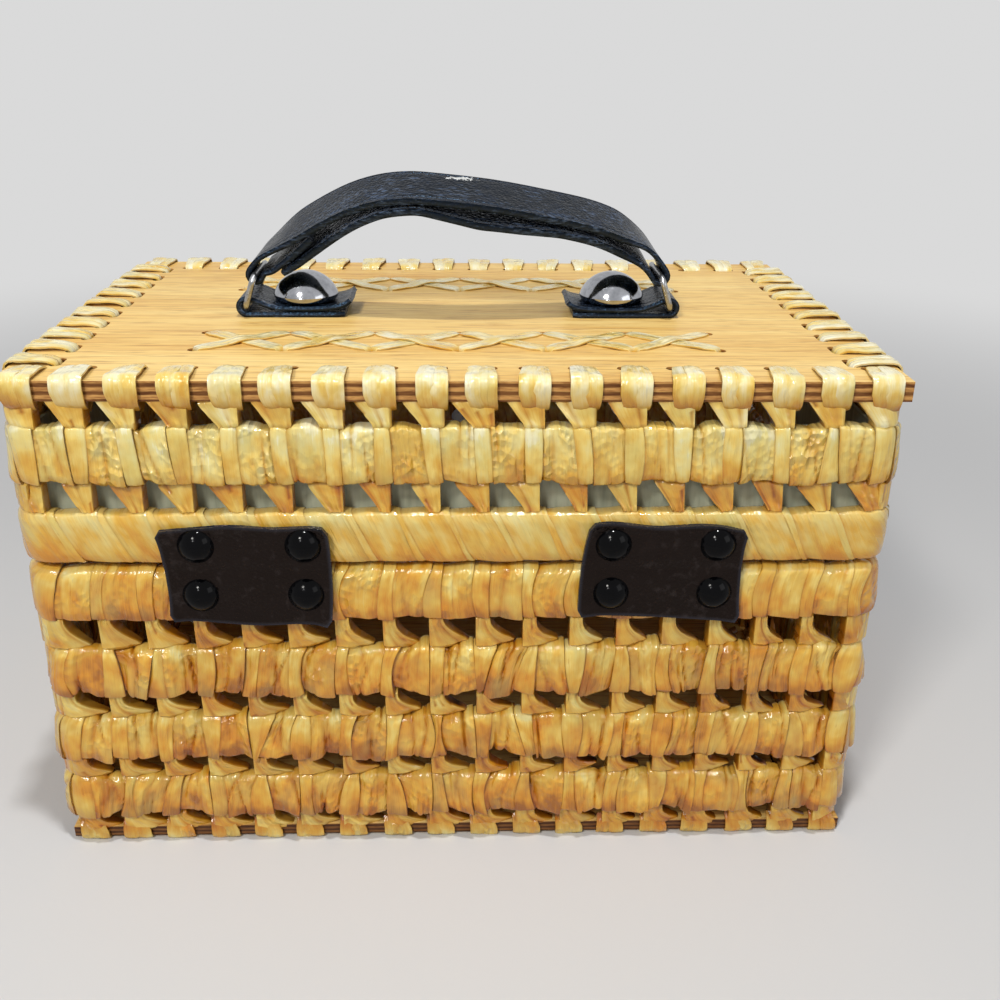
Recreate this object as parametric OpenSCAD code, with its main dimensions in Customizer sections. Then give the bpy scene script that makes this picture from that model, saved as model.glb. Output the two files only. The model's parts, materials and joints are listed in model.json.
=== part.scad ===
// Wicker train case: plywood lid and base, wrapped coil walls lashed with leaf,
// leather strap handle on wire rings, riveted leather hinges, turn button closure.
// Origin at the middle of the underside, +Z up, hinge side towards -Y, closure side towards +Y.

/* [Panels] */
// Width of the plywood lid panel
panel_w = 304; // [270:1:340]
// Depth of the plywood lid panel
panel_d = 194; // [175:1:230]
// Thickness of the lid panel
lid_panel_t = 7; // [5:0.5:9]
// Thickness of the base panel
base_panel_t = 4.5; // [4:0.5:8]
// Distance from each edge of the base panel to the lid panel's edge above it
base_inset = 1; // [0:0.5:2]

/* [Coils] */
// Thickness of a coil through the wall, over its raised wraps
coil_t = 10; // [9:0.5:12]
// Height of a raised wrap above the coil's skin
wrap_t = 0.6; // [0.3:0.1:1]
// Width of a raised wrap
wrap_w = 7; // [5:0.5:9]
// Angle of the corner that a corner wrap covers
corner_wrap_angle = 46; // [30:2:60]
// Distance that the coils stand out past the lid panel's edge
coil_overhang = 2.5; // [1.5:0.5:4]
// Bend radius of a coil at the corners, at its middle
coil_corner_r = 8; // [7:0.5:14]
// Height of the bottom coil
bottom_coil_h = 19; // [16:0.5:26]
// Height of the lower coil
lower_coil_h = 20; // [16:0.5:26]
// Height of the upper coil
upper_coil_h = 21.5; // [16:0.5:26]
// Height of the coil at the body's rim
body_rim_h = 21.6; // [18:0.2:26]
// Height of the coil at the lid's rim
lid_rim_h = 21; // [18:0.5:26]
// Height of the coil under the lid panel
lid_coil_h = 22.5; // [16:0.5:26]

/* [Gaps between the coils] */
// Gap between the base panel and the bottom coil
base_band_h = 7; // [4:0.5:12]
// Gap between the bottom and the lower coil
lower_band_h = 7; // [4:0.5:12]
// Gap between the lower and the upper coil
middle_band_h = 8; // [4:0.5:12]
// Gap between the upper coil and the body's rim coil
upper_band_h = 10.5; // [4:0.5:14]
// Gap between the two coils of the lid
lid_band_h = 8.5; // [4:0.5:12]
// Gap between the lid's upper coil and its panel
panel_band_h = 8; // [4:0.5:12]
// Gap between the body's rim and the lid's rim when shut
seam_gap = 0.4; // [0.3:0.1:1]

/* [Lashing] */
// Lashings along each long side
long_side_stitches = 18; // [14:1:20]
// Lashings along each short side
short_side_stitches = 10; // [6:1:10]
// Length at each end of a short side that has no lashing
short_side_free = 13; // [12:0.5:20]
// Thickness of a leaf strip
strip_t = 1; // [0.6:0.1:1.4]
// Width of a strip that is laced over a panel's edge
strip_w = 9; // [6:0.5:10]
// Distance from a panel's edge to its lacing slots
slot_inset = 15; // [8:0.5:16]
// Width of a lacing slot across the strip
slot_w = 4; // [2:0.5:5]
// Room around a strip in its slot
slot_clear = 0.4; // [0.2:0.1:0.8]
// Width of the bound lashing between two coils
lashing_w = 5; // [4:0.5:7]
// Width of the lashing that binds a panel's lacing to a coil
edge_lashing_w = 7.5; // [6:0.5:9]
// Thickness of the bound lashing
lashing_t = 5; // [3:0.5:6]
// Sideways flare of a lashing at its wide end
lashing_flare = 7; // [0:0.5:7.5]

/* [Lid liner] */
// Thickness of the liner strip inside the lid
liner_t = 1.2; // [0.8:0.1:2]
// Height of the liner strip
liner_h = 32; // [20:1:36]
// Distance from the top of the lid's upper coil down to the liner
liner_drop = 3; // [1:0.5:6]

/* [Cross stitch] */
// Crosses in a row
cross_count = 6; // [4:1:7]
// Width of one cross
cross_w = 31.6; // [24:0.2:34]
// Depth of one cross
cross_d = 23.4; // [16:0.2:28]
// Distance from the panel's edge to the middle of a row
cross_inset = 49; // [46:0.5:54]
// Width of a cross's strips
cross_strip_w = 5; // [3:0.5:7]
// Thickness of a cross's strips
cross_strip_t = 0.8; // [0.5:0.1:1.2]
// Diameter of the holes that the strips pass through
cross_hole_d = 4; // [3:0.5:6]

/* [Handle] */
// Thickness of all the leather
leather_t = 2; // [1.5:0.1:3]
// Width of the handle tabs
tab_w = 26; // [22:0.5:32]
// Distance from the middle to a tab's inner end
tab_inner_x = 45; // [40:0.5:48]
// Distance from the middle to a handle stud
handle_stud_x = 62; // [59:0.5:65]
// Distance from the middle to a ring's pivot
ring_x = 84; // [82:0.5:92]
// Distance from a handle stud to where its tab's upper layer starts to rise
tab_rise = 12.5; // [12:0.5:15]
// Slit between the two layers of a folded tab
tab_slit = 0.3; // [0.2:0.1:0.6]
// Diameter of the ring wire
wire_d = 2.5; // [2:0.1:3]
// Room around the wire in its leather loops
ring_play = 0.9; // [0.8:0.05:0.95]
// Width of the rings, inside
ring_inner_w = 27; // [26:0.5:34]
// Length of a ring between its two bars, at the wire's middle
ring_len = 13; // [12:0.2:18]
// Bend radius of the ring's corners, at the wire's middle
ring_corner_r = 3; // [2.5:0.5:4]
// Lean of the rings towards the middle
ring_lean = 18; // [16:1:30]
// Width of the strap
strap_w = 23.5; // [18:0.5:25]
// Rise of the strap's arch above its ends
strap_rise = 34; // [28:0.5:40]
// Slit between the strap's two layers
strap_slit = 0.6; // [0.3:0.1:1]
// Diameter of a handle stud's dome
handle_stud_d = 26; // [22:0.5:26]
// Height of a handle stud's dome
handle_stud_h = 12; // [9:0.5:12.5]
// Height of a handle stud's widest line above the leather
handle_stud_skirt = 3; // [1.5:0.5:4]
// Diameter of a handle stud's shank
handle_shank_d = 5; // [4:0.5:6]
// Width of a handle nut across its corners
nut_d = 11; // [10:0.5:13]
// Thickness of a handle nut
nut_t = 4; // [3:0.5:5]

/* [Hinges] */
// Distance from the middle to a hinge patch
hinge_x = 72; // [60:1:84]
// Width of a hinge patch
hinge_w = 60; // [54:1:70]
// Height of a hinge patch
hinge_h = 37; // [34:0.5:39]
// Corner radius of the leather patches
patch_corner_r = 3; // [2:0.5:5]
// Distance between the studs of a patch, side to side
hinge_stud_pitch = 36.7; // [30:0.1:40]
// Distance from the seam to a stud
stud_from_seam = 9.5; // [8:0.1:11]
// Diameter of a black stud's head
stud_d = 12.8; // [10:0.2:13]
// Height of a black stud's head
stud_h = 4; // [3:0.5:5]
// Diameter of a black stud's shank
shank_d = 4; // [3:0.5:5]
// Diameter of a stud's clinched tail
tail_d = 9; // [7:0.5:11]
// Thickness of a stud's clinched tail
tail_t = 1; // [0.8:0.1:1.5]
// Room around a shank in its hole
shank_clear = 0.15; // [0.1:0.05:0.3]

/* [Closure] */
// Width of the closure tab
closure_w = 44; // [40:1:60]
// Height of the closure tab
closure_h = 38; // [36:0.5:40]
// Distance between the studs of the closure tab
closure_stud_pitch = 24; // [20:0.5:28]
// Length of the turn button
button_l = 15; // [13:0.5:18]
// Width of the turn button
button_w = 7; // [6:0.5:8]
// Room around the turn button in the tab's slot
button_clear = 1; // [0.5:0.1:1.5]
// Gap between the turn button and the tab
button_gap = 0.3; // [0.2:0.1:0.6]
// Diameter of the pin that the turn button turns on
button_pin_d = 3; // [2.5:0.1:3.5]

/* [Hidden] */
$fn = 48;

leaf = "#d9ad57";
pale_leaf = "#e6dca8";
plywood = "#e0ac66";
black_leather = "#1b1b1f";
black_enamel = "#0c0c0e";
chrome = "#cfd2d6";
wire_steel = "#b4b6b8";
liner_grey = "#9aa091";

// Levels, from the floor up
base_bottom = strip_t;
base_top = base_bottom + base_panel_t;
bottom_coil_z = base_top + base_band_h;
lower_coil_z = bottom_coil_z + bottom_coil_h + lower_band_h;
upper_coil_z = lower_coil_z + lower_coil_h + middle_band_h;
body_rim_z = upper_coil_z + upper_coil_h + upper_band_h;
body_top = body_rim_z + body_rim_h;
seam_z = body_top + seam_gap / 2;
lid_rim_z = body_top + seam_gap;
lid_coil_z = lid_rim_z + lid_rim_h + lid_band_h;
lid_coil_top = lid_coil_z + lid_coil_h;
panel_bottom = lid_coil_top + panel_band_h;
panel_top = panel_bottom + lid_panel_t;

// Plan of the coils
coil_out_x = panel_w / 2 + coil_overhang;
coil_out_y = panel_d / 2 + coil_overhang;
coil_mid_x = coil_out_x - coil_t / 2;
coil_mid_y = coil_out_y - coil_t / 2;
base_w = panel_w - 2 * base_inset;
base_d = panel_d - 2 * base_inset;

// Handle
loop_r = wire_d / 2 + ring_play;
ring_z = panel_top + leather_t + loop_r;
strap_end_x = ring_x - ring_len * sin(ring_lean);
strap_end_z = ring_z + ring_len * cos(ring_lean);
strap_r = (pow(strap_end_x, 2) + pow(strap_rise, 2)) / (2 * strap_rise);
strap_centre_z = strap_end_z + strap_rise - strap_r;
strap_t = 2 * leather_t + strap_slit;
tab_t = 2 * leather_t + tab_slit;
handle_stud_z = panel_top + tab_t;
handle_grip = tab_t + lid_panel_t + nut_t + tail_t;

// Hinges and closure
leather_out_y = coil_out_y + leather_t;
stud_grip = leather_t + coil_t;
button_in_y = leather_out_y + button_gap;
button_t = stud_h - button_gap;
post_z = seam_z - stud_from_seam;
// Length past a surface that a cut runs on
through = 1;

// Middle of stitch number i along a side
function stitch_at(i, count, span) = span * ((i + 0.5) / count - 0.5);

function side_is_long(side) = side % 2 == 0;
function side_count(side) = side_is_long(side) ? long_side_stitches : short_side_stitches;
function side_span(side) = side_is_long(side) ? panel_w : panel_d - 2 * short_side_free;

// Children at every stitch of the four sides, with -Y outwards and the origin reach from the middle
module at_stitches(reach_x, reach_y) {
    for (side = [0 : 3])
        rotate([0, 0, 90 * side])
            for (i = [0 : side_count(side) - 1])
                translate([stitch_at(i, side_count(side), side_span(side)),
                           side_is_long(side) ? -reach_y : -reach_x, 0])
                    children();
}

// Children at the middle of each corner bend of the coils, with -Y outwards
module at_corners() {
    for (corner = [0 : 3])
        let (towards = 90 * corner + 45)
            translate([sign(cos(towards)) * (coil_mid_x - coil_corner_r),
                       sign(sin(towards)) * (coil_mid_y - coil_corner_r), 0])
                rotate([0, 0, towards + 90])
                    translate([0, -coil_corner_r, 0])
                        children();
}

// Outline drawn in depth and height, extruded along X about the middle
module along_x(length) {
    rotate([90, 0, 90])
        linear_extrude(height = length, center = true)
            children();
}

// Outline drawn in width and height, extruded along Y about the middle
module along_y(length) {
    rotate([90, 0, 0])
        linear_extrude(height = length, center = true)
            children();
}

// Slot outline with round ends, length l and width w
module slot_outline(l, w) {
    square([l - w, w], center = true);
    for (end = [-1, 1])
        translate([end * (l - w) / 2, 0])
            circle(d = w);
}

// Rectangle with round corners
module round_rect(w, h, r) {
    square([w - 2 * r, h], center = true);
    square([w, h - 2 * r], center = true);
    for (x = [-1, 1], y = [-1, 1])
        translate([x * (w / 2 - r), y * (h / 2 - r)])
            circle(r = r);
}

// Section of a coil: flat faces with round top and bottom
module coil_section(t, h) {
    rotate([0, 0, 90])
        slot_outline(h, t);
}

// Quarter bend of the coil section at each corner, turned by start, over angle
module corner_bends(t, h, start, angle) {
    for (corner = [0 : 3])
        let (towards = 90 * corner + 45)
            translate([sign(cos(towards)) * (coil_mid_x - coil_corner_r),
                       sign(sin(towards)) * (coil_mid_y - coil_corner_r), 0])
                rotate([0, 0, 90 * corner + start])
                    rotate_extrude(angle = angle)
                        translate([coil_corner_r, 0])
                            coil_section(t, h);
}

// Raised wraps on the straight stretches and one on each corner
module coil_wraps(h) {
    for (side = [0 : 3])
        let (straight = 2 * ((side_is_long(side) ? coil_mid_x : coil_mid_y) - coil_corner_r))
            rotate([0, 0, 90 * side])
                for (i = [0 : side_count(side) - 1])
                    let (x = stitch_at(i, side_count(side), side_span(side)))
                        if (abs(x) + wrap_w / 2 < straight / 2)
                            translate([x, side_is_long(side) ? -coil_mid_y : -coil_mid_x, 0])
                                along_x(wrap_w)
                                    coil_section(coil_t, h);
    corner_bends(coil_t, h, (90 - corner_wrap_angle) / 2, corner_wrap_angle);
}

// Wrapped coil bent into a ring round the case, from z upwards
module coil(z, h) {
    skin_t = coil_t - 2 * wrap_t;
    skin_h = h - 2 * wrap_t;
    translate([0, 0, z + h / 2]) {
        for (side = [0 : 3])
            rotate([0, 0, 90 * side])
                translate([0, side_is_long(side) ? -coil_mid_y : -coil_mid_x, 0])
                    along_x(2 * ((side_is_long(side) ? coil_mid_x : coil_mid_y) - coil_corner_r))
                        coil_section(skin_t, skin_h);
        corner_bends(skin_t, skin_h, 0, 90);
        coil_wraps(h);
    }
}

// Face of a bound lashing w by h; flare_top widens its top to the left, else its foot to the right
module lashing_face(w, h, flare_top) {
    if (flare_top)
        polygon([[-w / 2, 0], [w / 2, 0], [w / 2, h], [-w / 2 - lashing_flare, h]]);
    else
        polygon([[-w / 2, 0], [w / 2 + lashing_flare, 0], [w / 2, h], [-w / 2, h]]);
}

// Plain lashing on each corner bend, in the gap of height h above z
module corner_lashings(z, h) {
    at_corners()
        translate([0, 0, z])
            along_y(lashing_t)
                translate([-lashing_w / 2, 0])
                    square([lashing_w, h]);
}

// Ring of lashings that fills the gap of height h above z
module lashings(z, h, flare_top) {
    corner_lashings(z, h);
    at_stitches(coil_mid_x, coil_mid_y)
        translate([0, 0, z])
            along_y(lashing_t)
                lashing_face(lashing_w, h, flare_top);
}

// Strip out of a slot, along a panel's outer face and round its edge to the level of its inner face
module edge_strip(inner_z, outer_z) {
    way = sign(outer_z - inner_z);
    tail_z = inner_z + way * slot_clear;
    face_z = outer_z + way * strip_t;
    slot_far = slot_inset + strip_t / 2;
    slot_near = slot_inset - strip_t / 2;
    along_x(strip_w)
        polygon([[slot_far, tail_z], [slot_near, tail_z], [slot_near, outer_z], [0, outer_z],
                 [0, inner_z], [-strip_t, inner_z], [-strip_t, face_z], [slot_far, face_z]]);
}

// Laced strips round a panel's edge, each bound below or above it to the next coil
module edge_lacing(w, d, inner_z, outer_z, band_z, band_h, flare_top) {
    bound_t = strip_t + (d / 2 - coil_mid_y) + lashing_t / 2;
    at_stitches(w / 2, d / 2) {
        edge_strip(inner_z, outer_z);
        translate([0, bound_t / 2 - strip_t, band_z])
            along_y(bound_t)
                lashing_face(edge_lashing_w, band_h, flare_top);
    }
}

// Plywood panel with its lacing slots
module laced_panel(w, d, z, t) {
    difference() {
        translate([-w / 2, -d / 2, z])
            cube([w, d, t]);
        at_stitches(w / 2, d / 2)
            translate([0, slot_inset, z - through])
                linear_extrude(height = t + 2 * through)
                    slot_outline(strip_w + 2 * slot_clear, slot_w);
    }
}

// Children at the end points of the crosses in one row
module at_cross_holes() {
    for (i = [0 : cross_count], side = [-1, 1])
        translate([cross_w * (i - cross_count / 2), side * cross_d / 2, 0])
            children();
}

// Row of crossed strips on the panel, with tails through its holes
module cross_stitch() {
    cross_l = sqrt(pow(cross_w, 2) + pow(cross_d, 2));
    translate([0, 0, panel_top])
        linear_extrude(height = cross_strip_t)
            for (i = [0 : cross_count - 1], way = [-1, 1])
                translate([cross_w * (i + 0.5 - cross_count / 2), 0])
                    rotate([0, 0, way * atan2(cross_d, cross_w)])
                        slot_outline(cross_l + cross_strip_w, cross_strip_w);
    translate([0, 0, panel_bottom])
        at_cross_holes()
            cylinder(d = cross_hole_d - 2 * slot_clear, h = lid_panel_t + cross_strip_t);
}

module at_cross_rows(sides) {
    for (side = sides)
        translate([0, side * (panel_d / 2 - cross_inset), 0])
            children();
}

// Spherical cap of diameter d and height h, standing on the XY plane
module dome(d, h) {
    r = (pow(d / 2, 2) + h * h) / (2 * h);
    rotate_extrude()
        intersection() {
            translate([0, h - r])
                circle(r = r);
            square([d / 2, h]);
        }
}

// Stud with a domed head, a shank of length grip and a clinched tail
module riveted_stud(grip) {
    dome(stud_d, stud_h);
    translate([0, 0, -grip])
        cylinder(d = shank_d, h = grip);
    translate([0, 0, -grip - tail_t])
        cylinder(d = tail_d, h = tail_t);
}

// Children at each hinge stud of the lid (way 1) or the body (way -1), with +Z outwards
module at_hinge_studs(way) {
    for (side = [-1, 1], end = [-1, 1])
        translate([side * hinge_x + end * hinge_stud_pitch / 2, -leather_out_y, seam_z + way * stud_from_seam])
            rotate([90, 0, 0])
                children();
}

// Children at each closure stud, with +Z outwards
module at_closure_studs() {
    for (end = [-1, 1])
        translate([end * closure_stud_pitch / 2, leather_out_y, seam_z + stud_from_seam])
            rotate([-90, 0, 0])
                children();
}

// Children at the turn button's axis on the outer face of the leather, with +Z outwards
module at_turn_axis() {
    translate([0, leather_out_y, post_z])
        rotate([-90, 0, 0])
            children();
}

// Hole for a stud's shank through the leather and the coil
module shank_hole() {
    translate([0, 0, -stud_grip - through])
        cylinder(d = shank_d + 2 * shank_clear, h = stud_grip + 2 * through);
}

// Leather patch on the wall, w by h, its inner face on the coils
module wall_patch(w, h) {
    translate([0, 0, -leather_t])
        linear_extrude(height = leather_t)
            round_rect(w, h, patch_corner_r);
}

module hinge_leather(side) {
    difference() {
        translate([side * hinge_x, -leather_out_y, seam_z])
            rotate([90, 0, 0])
                wall_patch(hinge_w, hinge_h);
        for (way = [-1, 1])
            at_hinge_studs(way)
                shank_hole();
    }
}

// Folded tab of the handle, its loop towards +X
module handle_tab() {
    loop_top = leather_t + 2 * loop_r;
    rise_x = handle_stud_x + tab_rise;
    upper = leather_t + tab_slit;
    difference() {
        translate([0, 0, panel_top])
            along_y(tab_w) {
                translate([tab_inner_x, 0])
                    square([ring_x - tab_inner_x, leather_t]);
                translate([tab_inner_x, upper])
                    square([rise_x - tab_inner_x, leather_t]);
                polygon([[rise_x, upper], [ring_x, loop_top],
                         [ring_x, loop_top + leather_t], [rise_x, upper + leather_t]]);
                translate([ring_x, leather_t + loop_r])
                    intersection() {
                        difference() {
                            circle(r = loop_r + leather_t);
                            circle(r = loop_r);
                        }
                        translate([0, -loop_r - leather_t])
                            square(2 * (loop_r + leather_t));
                    }
            }
        translate([handle_stud_x, 0, panel_top - through])
            cylinder(d = handle_shank_d + 2 * shank_clear, h = tab_t + 2 * through);
    }
}

// Round edge under a handle stud's dome, from its foot up to its widest line
module stud_skirt() {
    rotate_extrude()
        intersection() {
            union() {
                square([handle_stud_d / 2 - handle_stud_skirt, handle_stud_skirt]);
                translate([handle_stud_d / 2 - handle_stud_skirt, handle_stud_skirt])
                    circle(r = handle_stud_skirt);
            }
            square([handle_stud_d / 2, handle_stud_skirt]);
        }
}

module handle_stud() {
    translate([handle_stud_x, 0, handle_stud_z]) {
        stud_skirt();
        translate([0, 0, handle_stud_skirt])
            dome(handle_stud_d, handle_stud_h - handle_stud_skirt);
        translate([0, 0, -handle_grip])
            cylinder(d = handle_shank_d, h = handle_grip);
    }
}

module handle_nut() {
    translate([handle_stud_x, 0, panel_bottom - nut_t])
        difference() {
            cylinder(d = nut_d, h = nut_t, $fn = 6);
            translate([0, 0, -through])
                cylinder(d = handle_shank_d + 2 * shank_clear, h = nut_t + 2 * through);
        }
}

// Wire ring leaning towards the middle, its lower bar at its pivot
module handle_ring() {
    half_w = (ring_inner_w + wire_d) / 2;
    translate([ring_x, 0, ring_z])
        rotate([0, -ring_lean, 0]) {
            for (z = [0, ring_len])
                translate([0, 0, z])
                    rotate([90, 0, 0])
                        cylinder(d = wire_d, h = 2 * (half_w - ring_corner_r), center = true);
            for (side = [-1, 1]) {
                translate([0, side * half_w, ring_corner_r])
                    cylinder(d = wire_d, h = ring_len - 2 * ring_corner_r);
                for (end = [0, 1])
                    translate([0, side * (half_w - ring_corner_r),
                               end * ring_len + (1 - 2 * end) * ring_corner_r])
                        rotate([90, 0, 90])
                            rotate([0, 0, end == 1 ? 45 - 45 * side : 225 + 45 * side])
                                rotate_extrude(angle = 90)
                                    translate([ring_corner_r, 0])
                                        circle(d = wire_d);
            }
        }
}

// Band of the strap's arch, t thick, between the middles of its end loops
module strap_arc(t) {
    spread = 2;
    intersection() {
        translate([0, strap_centre_z])
            difference() {
                circle(r = strap_r + t / 2, $fn = 180);
                circle(r = strap_r - t / 2, $fn = 180);
            }
        polygon([[0, strap_centre_z],
                 [spread * strap_end_x, strap_centre_z + spread * (strap_end_z - strap_centre_z)],
                 [0, strap_centre_z + 2 * spread * strap_r],
                 [-spread * strap_end_x, strap_centre_z + spread * (strap_end_z - strap_centre_z)]]);
    }
}

module handle_strap() {
    color(black_leather)
        along_y(strap_w)
            difference() {
                union() {
                    strap_arc(strap_t);
                    for (side = [-1, 1])
                        translate([side * strap_end_x, strap_end_z])
                            circle(r = loop_r + leather_t);
                }
                strap_arc(strap_slit);
                for (side = [-1, 1])
                    translate([side * strap_end_x, strap_end_z])
                        circle(r = loop_r);
            }
}

module base_panel() {
    color(plywood)
        laced_panel(base_w, base_d, base_bottom, base_panel_t);
}

module base_edge_lacing() {
    color(leaf)
        edge_lacing(base_w, base_d, base_top, base_bottom, base_top, base_band_h, false);
}

module bottom_coil() {
    color(leaf)
        coil(bottom_coil_z, bottom_coil_h);
}

module lower_lashing() {
    color(leaf)
        lashings(bottom_coil_z + bottom_coil_h, lower_band_h, false);
}

module lower_coil() {
    color(leaf)
        coil(lower_coil_z, lower_coil_h);
}

module middle_lashing() {
    color(leaf)
        lashings(lower_coil_z + lower_coil_h, middle_band_h, false);
}

module upper_coil() {
    color(leaf)
        coil(upper_coil_z, upper_coil_h);
}

module upper_lashing() {
    color(leaf)
        lashings(upper_coil_z + upper_coil_h, upper_band_h, false);
}

module body_rim_coil() {
    color(leaf)
        difference() {
            coil(body_rim_z, body_rim_h);
            at_hinge_studs(-1)
                shank_hole();
            at_turn_axis()
                shank_hole();
        }
}

module lid_rim_coil() {
    color(pale_leaf)
        difference() {
            coil(lid_rim_z, lid_rim_h);
            at_hinge_studs(1)
                shank_hole();
            at_closure_studs()
                shank_hole();
        }
}

module lid_lashing() {
    color(leaf)
        lashings(lid_rim_z + lid_rim_h, lid_band_h, true);
}

module lid_upper_coil() {
    color(leaf)
        coil(lid_coil_z, lid_coil_h);
}

module lid_edge_lacing() {
    color(leaf) {
        edge_lacing(panel_w, panel_d, panel_bottom, panel_top, lid_coil_top, panel_band_h, true);
        corner_lashings(lid_coil_top, panel_band_h);
    }
}

module lid_panel() {
    color(plywood)
        difference() {
            laced_panel(panel_w, panel_d, panel_bottom, lid_panel_t);
            translate([0, 0, panel_bottom - through]) {
                at_cross_rows([-1, 1])
                    at_cross_holes()
                        cylinder(d = cross_hole_d, h = lid_panel_t + 2 * through);
                for (side = [-1, 1])
                    translate([side * handle_stud_x, 0, 0])
                        cylinder(d = handle_shank_d + 2 * shank_clear, h = lid_panel_t + 2 * through);
            }
        }
}

module lid_liner() {
    in_x = coil_out_x - coil_t;
    in_y = coil_out_y - coil_t;
    in_r = coil_corner_r - coil_t / 2;
    color(liner_grey)
        translate([0, 0, lid_coil_top - liner_drop - liner_h])
            linear_extrude(height = liner_h)
                difference() {
                    round_rect(2 * in_x, 2 * in_y, in_r);
                    round_rect(2 * (in_x - liner_t), 2 * (in_y - liner_t), in_r - liner_t);
                }
}

module cross_stitch_rear() {
    color(leaf)
        at_cross_rows([-1])
            cross_stitch();
}

module cross_stitch_front() {
    color(leaf)
        at_cross_rows([1])
            cross_stitch();
}

module handle_tab_left() {
    color(black_leather)
        mirror([1, 0, 0])
            handle_tab();
}

module handle_tab_right() {
    color(black_leather)
        handle_tab();
}

module handle_stud_left() {
    color(chrome)
        mirror([1, 0, 0])
            handle_stud();
}

module handle_stud_right() {
    color(chrome)
        handle_stud();
}

module handle_nut_left() {
    color(wire_steel)
        mirror([1, 0, 0])
            handle_nut();
}

module handle_nut_right() {
    color(wire_steel)
        handle_nut();
}

module handle_ring_left() {
    color(wire_steel)
        mirror([1, 0, 0])
            handle_ring();
}

module handle_ring_right() {
    color(wire_steel)
        handle_ring();
}

module hinge_leather_left() {
    color(black_leather)
        hinge_leather(-1);
}

module hinge_leather_right() {
    color(black_leather)
        hinge_leather(1);
}

module hinge_studs_lid() {
    color(black_enamel)
        at_hinge_studs(1)
            riveted_stud(stud_grip);
}

module hinge_studs_body() {
    color(black_enamel)
        at_hinge_studs(-1)
            riveted_stud(stud_grip);
}

module closure_tab() {
    color(black_leather)
        difference() {
            translate([0, leather_out_y, seam_z])
                rotate([-90, 0, 0])
                    wall_patch(closure_w, closure_h);
            at_closure_studs()
                shank_hole();
            at_turn_axis()
                translate([0, 0, -leather_t - through])
                    linear_extrude(height = leather_t + 2 * through)
                        slot_outline(button_l + 2 * button_clear, button_w + 2 * button_clear);
        }
}

module closure_studs() {
    color(black_enamel)
        at_closure_studs()
            riveted_stud(stud_grip);
}

// Post through the rim coil with a clinched tail, and the pin that carries the button
module turn_post() {
    color(wire_steel)
        at_turn_axis() {
            translate([0, 0, -stud_grip - tail_t])
                cylinder(d = tail_d, h = tail_t);
            translate([0, 0, -stud_grip])
                cylinder(d = shank_d, h = stud_grip);
            cylinder(d = button_pin_d, h = stud_h);
        }
}

// Oval button that passes the tab's slot, or locks it when turned across
module turn_button() {
    color(chrome)
        at_turn_axis()
            translate([0, 0, button_gap])
                linear_extrude(height = button_t)
                    difference() {
                        slot_outline(button_l, button_w);
                        circle(d = button_pin_d + 2 * shank_clear);
                    }
}

base_panel();
base_edge_lacing();
bottom_coil();
lower_lashing();
lower_coil();
middle_lashing();
upper_coil();
upper_lashing();
body_rim_coil();
lid_rim_coil();
lid_lashing();
lid_upper_coil();
lid_edge_lacing();
lid_panel();
lid_liner();
cross_stitch_rear();
cross_stitch_front();
handle_tab_left();
handle_tab_right();
handle_stud_left();
handle_stud_right();
handle_nut_left();
handle_nut_right();
handle_ring_left();
handle_ring_right();
handle_strap();
hinge_leather_left();
hinge_leather_right();
hinge_studs_lid();
hinge_studs_body();
closure_tab();
closure_studs();
turn_post();
turn_button();
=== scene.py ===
"""Wicker train case: wrapped leaf coils, lashings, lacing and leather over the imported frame."""

import json
import math
from collections import namedtuple

import bmesh
import bpy
import numpy as np
from mathutils import Matrix, Vector


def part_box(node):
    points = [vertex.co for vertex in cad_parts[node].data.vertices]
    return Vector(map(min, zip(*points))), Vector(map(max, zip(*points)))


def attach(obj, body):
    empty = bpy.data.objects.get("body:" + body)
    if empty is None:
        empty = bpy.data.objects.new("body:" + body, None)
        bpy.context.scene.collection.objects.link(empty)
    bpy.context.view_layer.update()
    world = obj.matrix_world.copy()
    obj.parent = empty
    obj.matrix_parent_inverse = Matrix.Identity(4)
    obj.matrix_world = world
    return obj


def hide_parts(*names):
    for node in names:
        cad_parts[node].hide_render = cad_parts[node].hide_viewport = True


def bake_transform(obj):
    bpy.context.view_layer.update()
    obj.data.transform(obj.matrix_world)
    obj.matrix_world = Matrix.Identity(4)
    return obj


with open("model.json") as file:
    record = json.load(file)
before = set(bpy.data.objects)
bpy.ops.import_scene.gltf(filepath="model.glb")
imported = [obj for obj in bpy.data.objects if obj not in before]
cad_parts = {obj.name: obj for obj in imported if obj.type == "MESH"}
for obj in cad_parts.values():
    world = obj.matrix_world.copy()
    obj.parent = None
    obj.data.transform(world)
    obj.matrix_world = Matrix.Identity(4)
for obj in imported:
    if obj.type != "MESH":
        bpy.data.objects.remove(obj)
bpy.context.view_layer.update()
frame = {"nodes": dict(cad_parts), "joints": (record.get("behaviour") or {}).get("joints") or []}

MM = 0.001
SEED = 1907
rng = np.random.default_rng(SEED)


def node_box(node):
    """Lowest and highest corner of a CAD node, in millimetres."""
    low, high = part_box(node)
    return np.array(low) / MM, np.array(high) / MM


# Sizes taken from the frame, in millimetres
PANEL_LOW, PANEL_HIGH = node_box("lid_panel")
BASE_LOW, BASE_HIGH = node_box("base_panel")
COIL_LOW, COIL_HIGH = node_box("lid_rim_coil")
LID_FOOT, LID_TOP = PANEL_LOW[2], PANEL_HIGH[2]
BASE_FOOT, BASE_TOP = BASE_LOW[2], BASE_HIGH[2]
SEAM_Z = (node_box("body_rim_coil")[1][2] + COIL_LOW[2]) / 2
COIL_T = 10.0
COIL_CORNER_R = 8.0
COIL_MID_X = COIL_HIGH[0] - COIL_T / 2
COIL_MID_Y = COIL_HIGH[1] - COIL_T / 2

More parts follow.
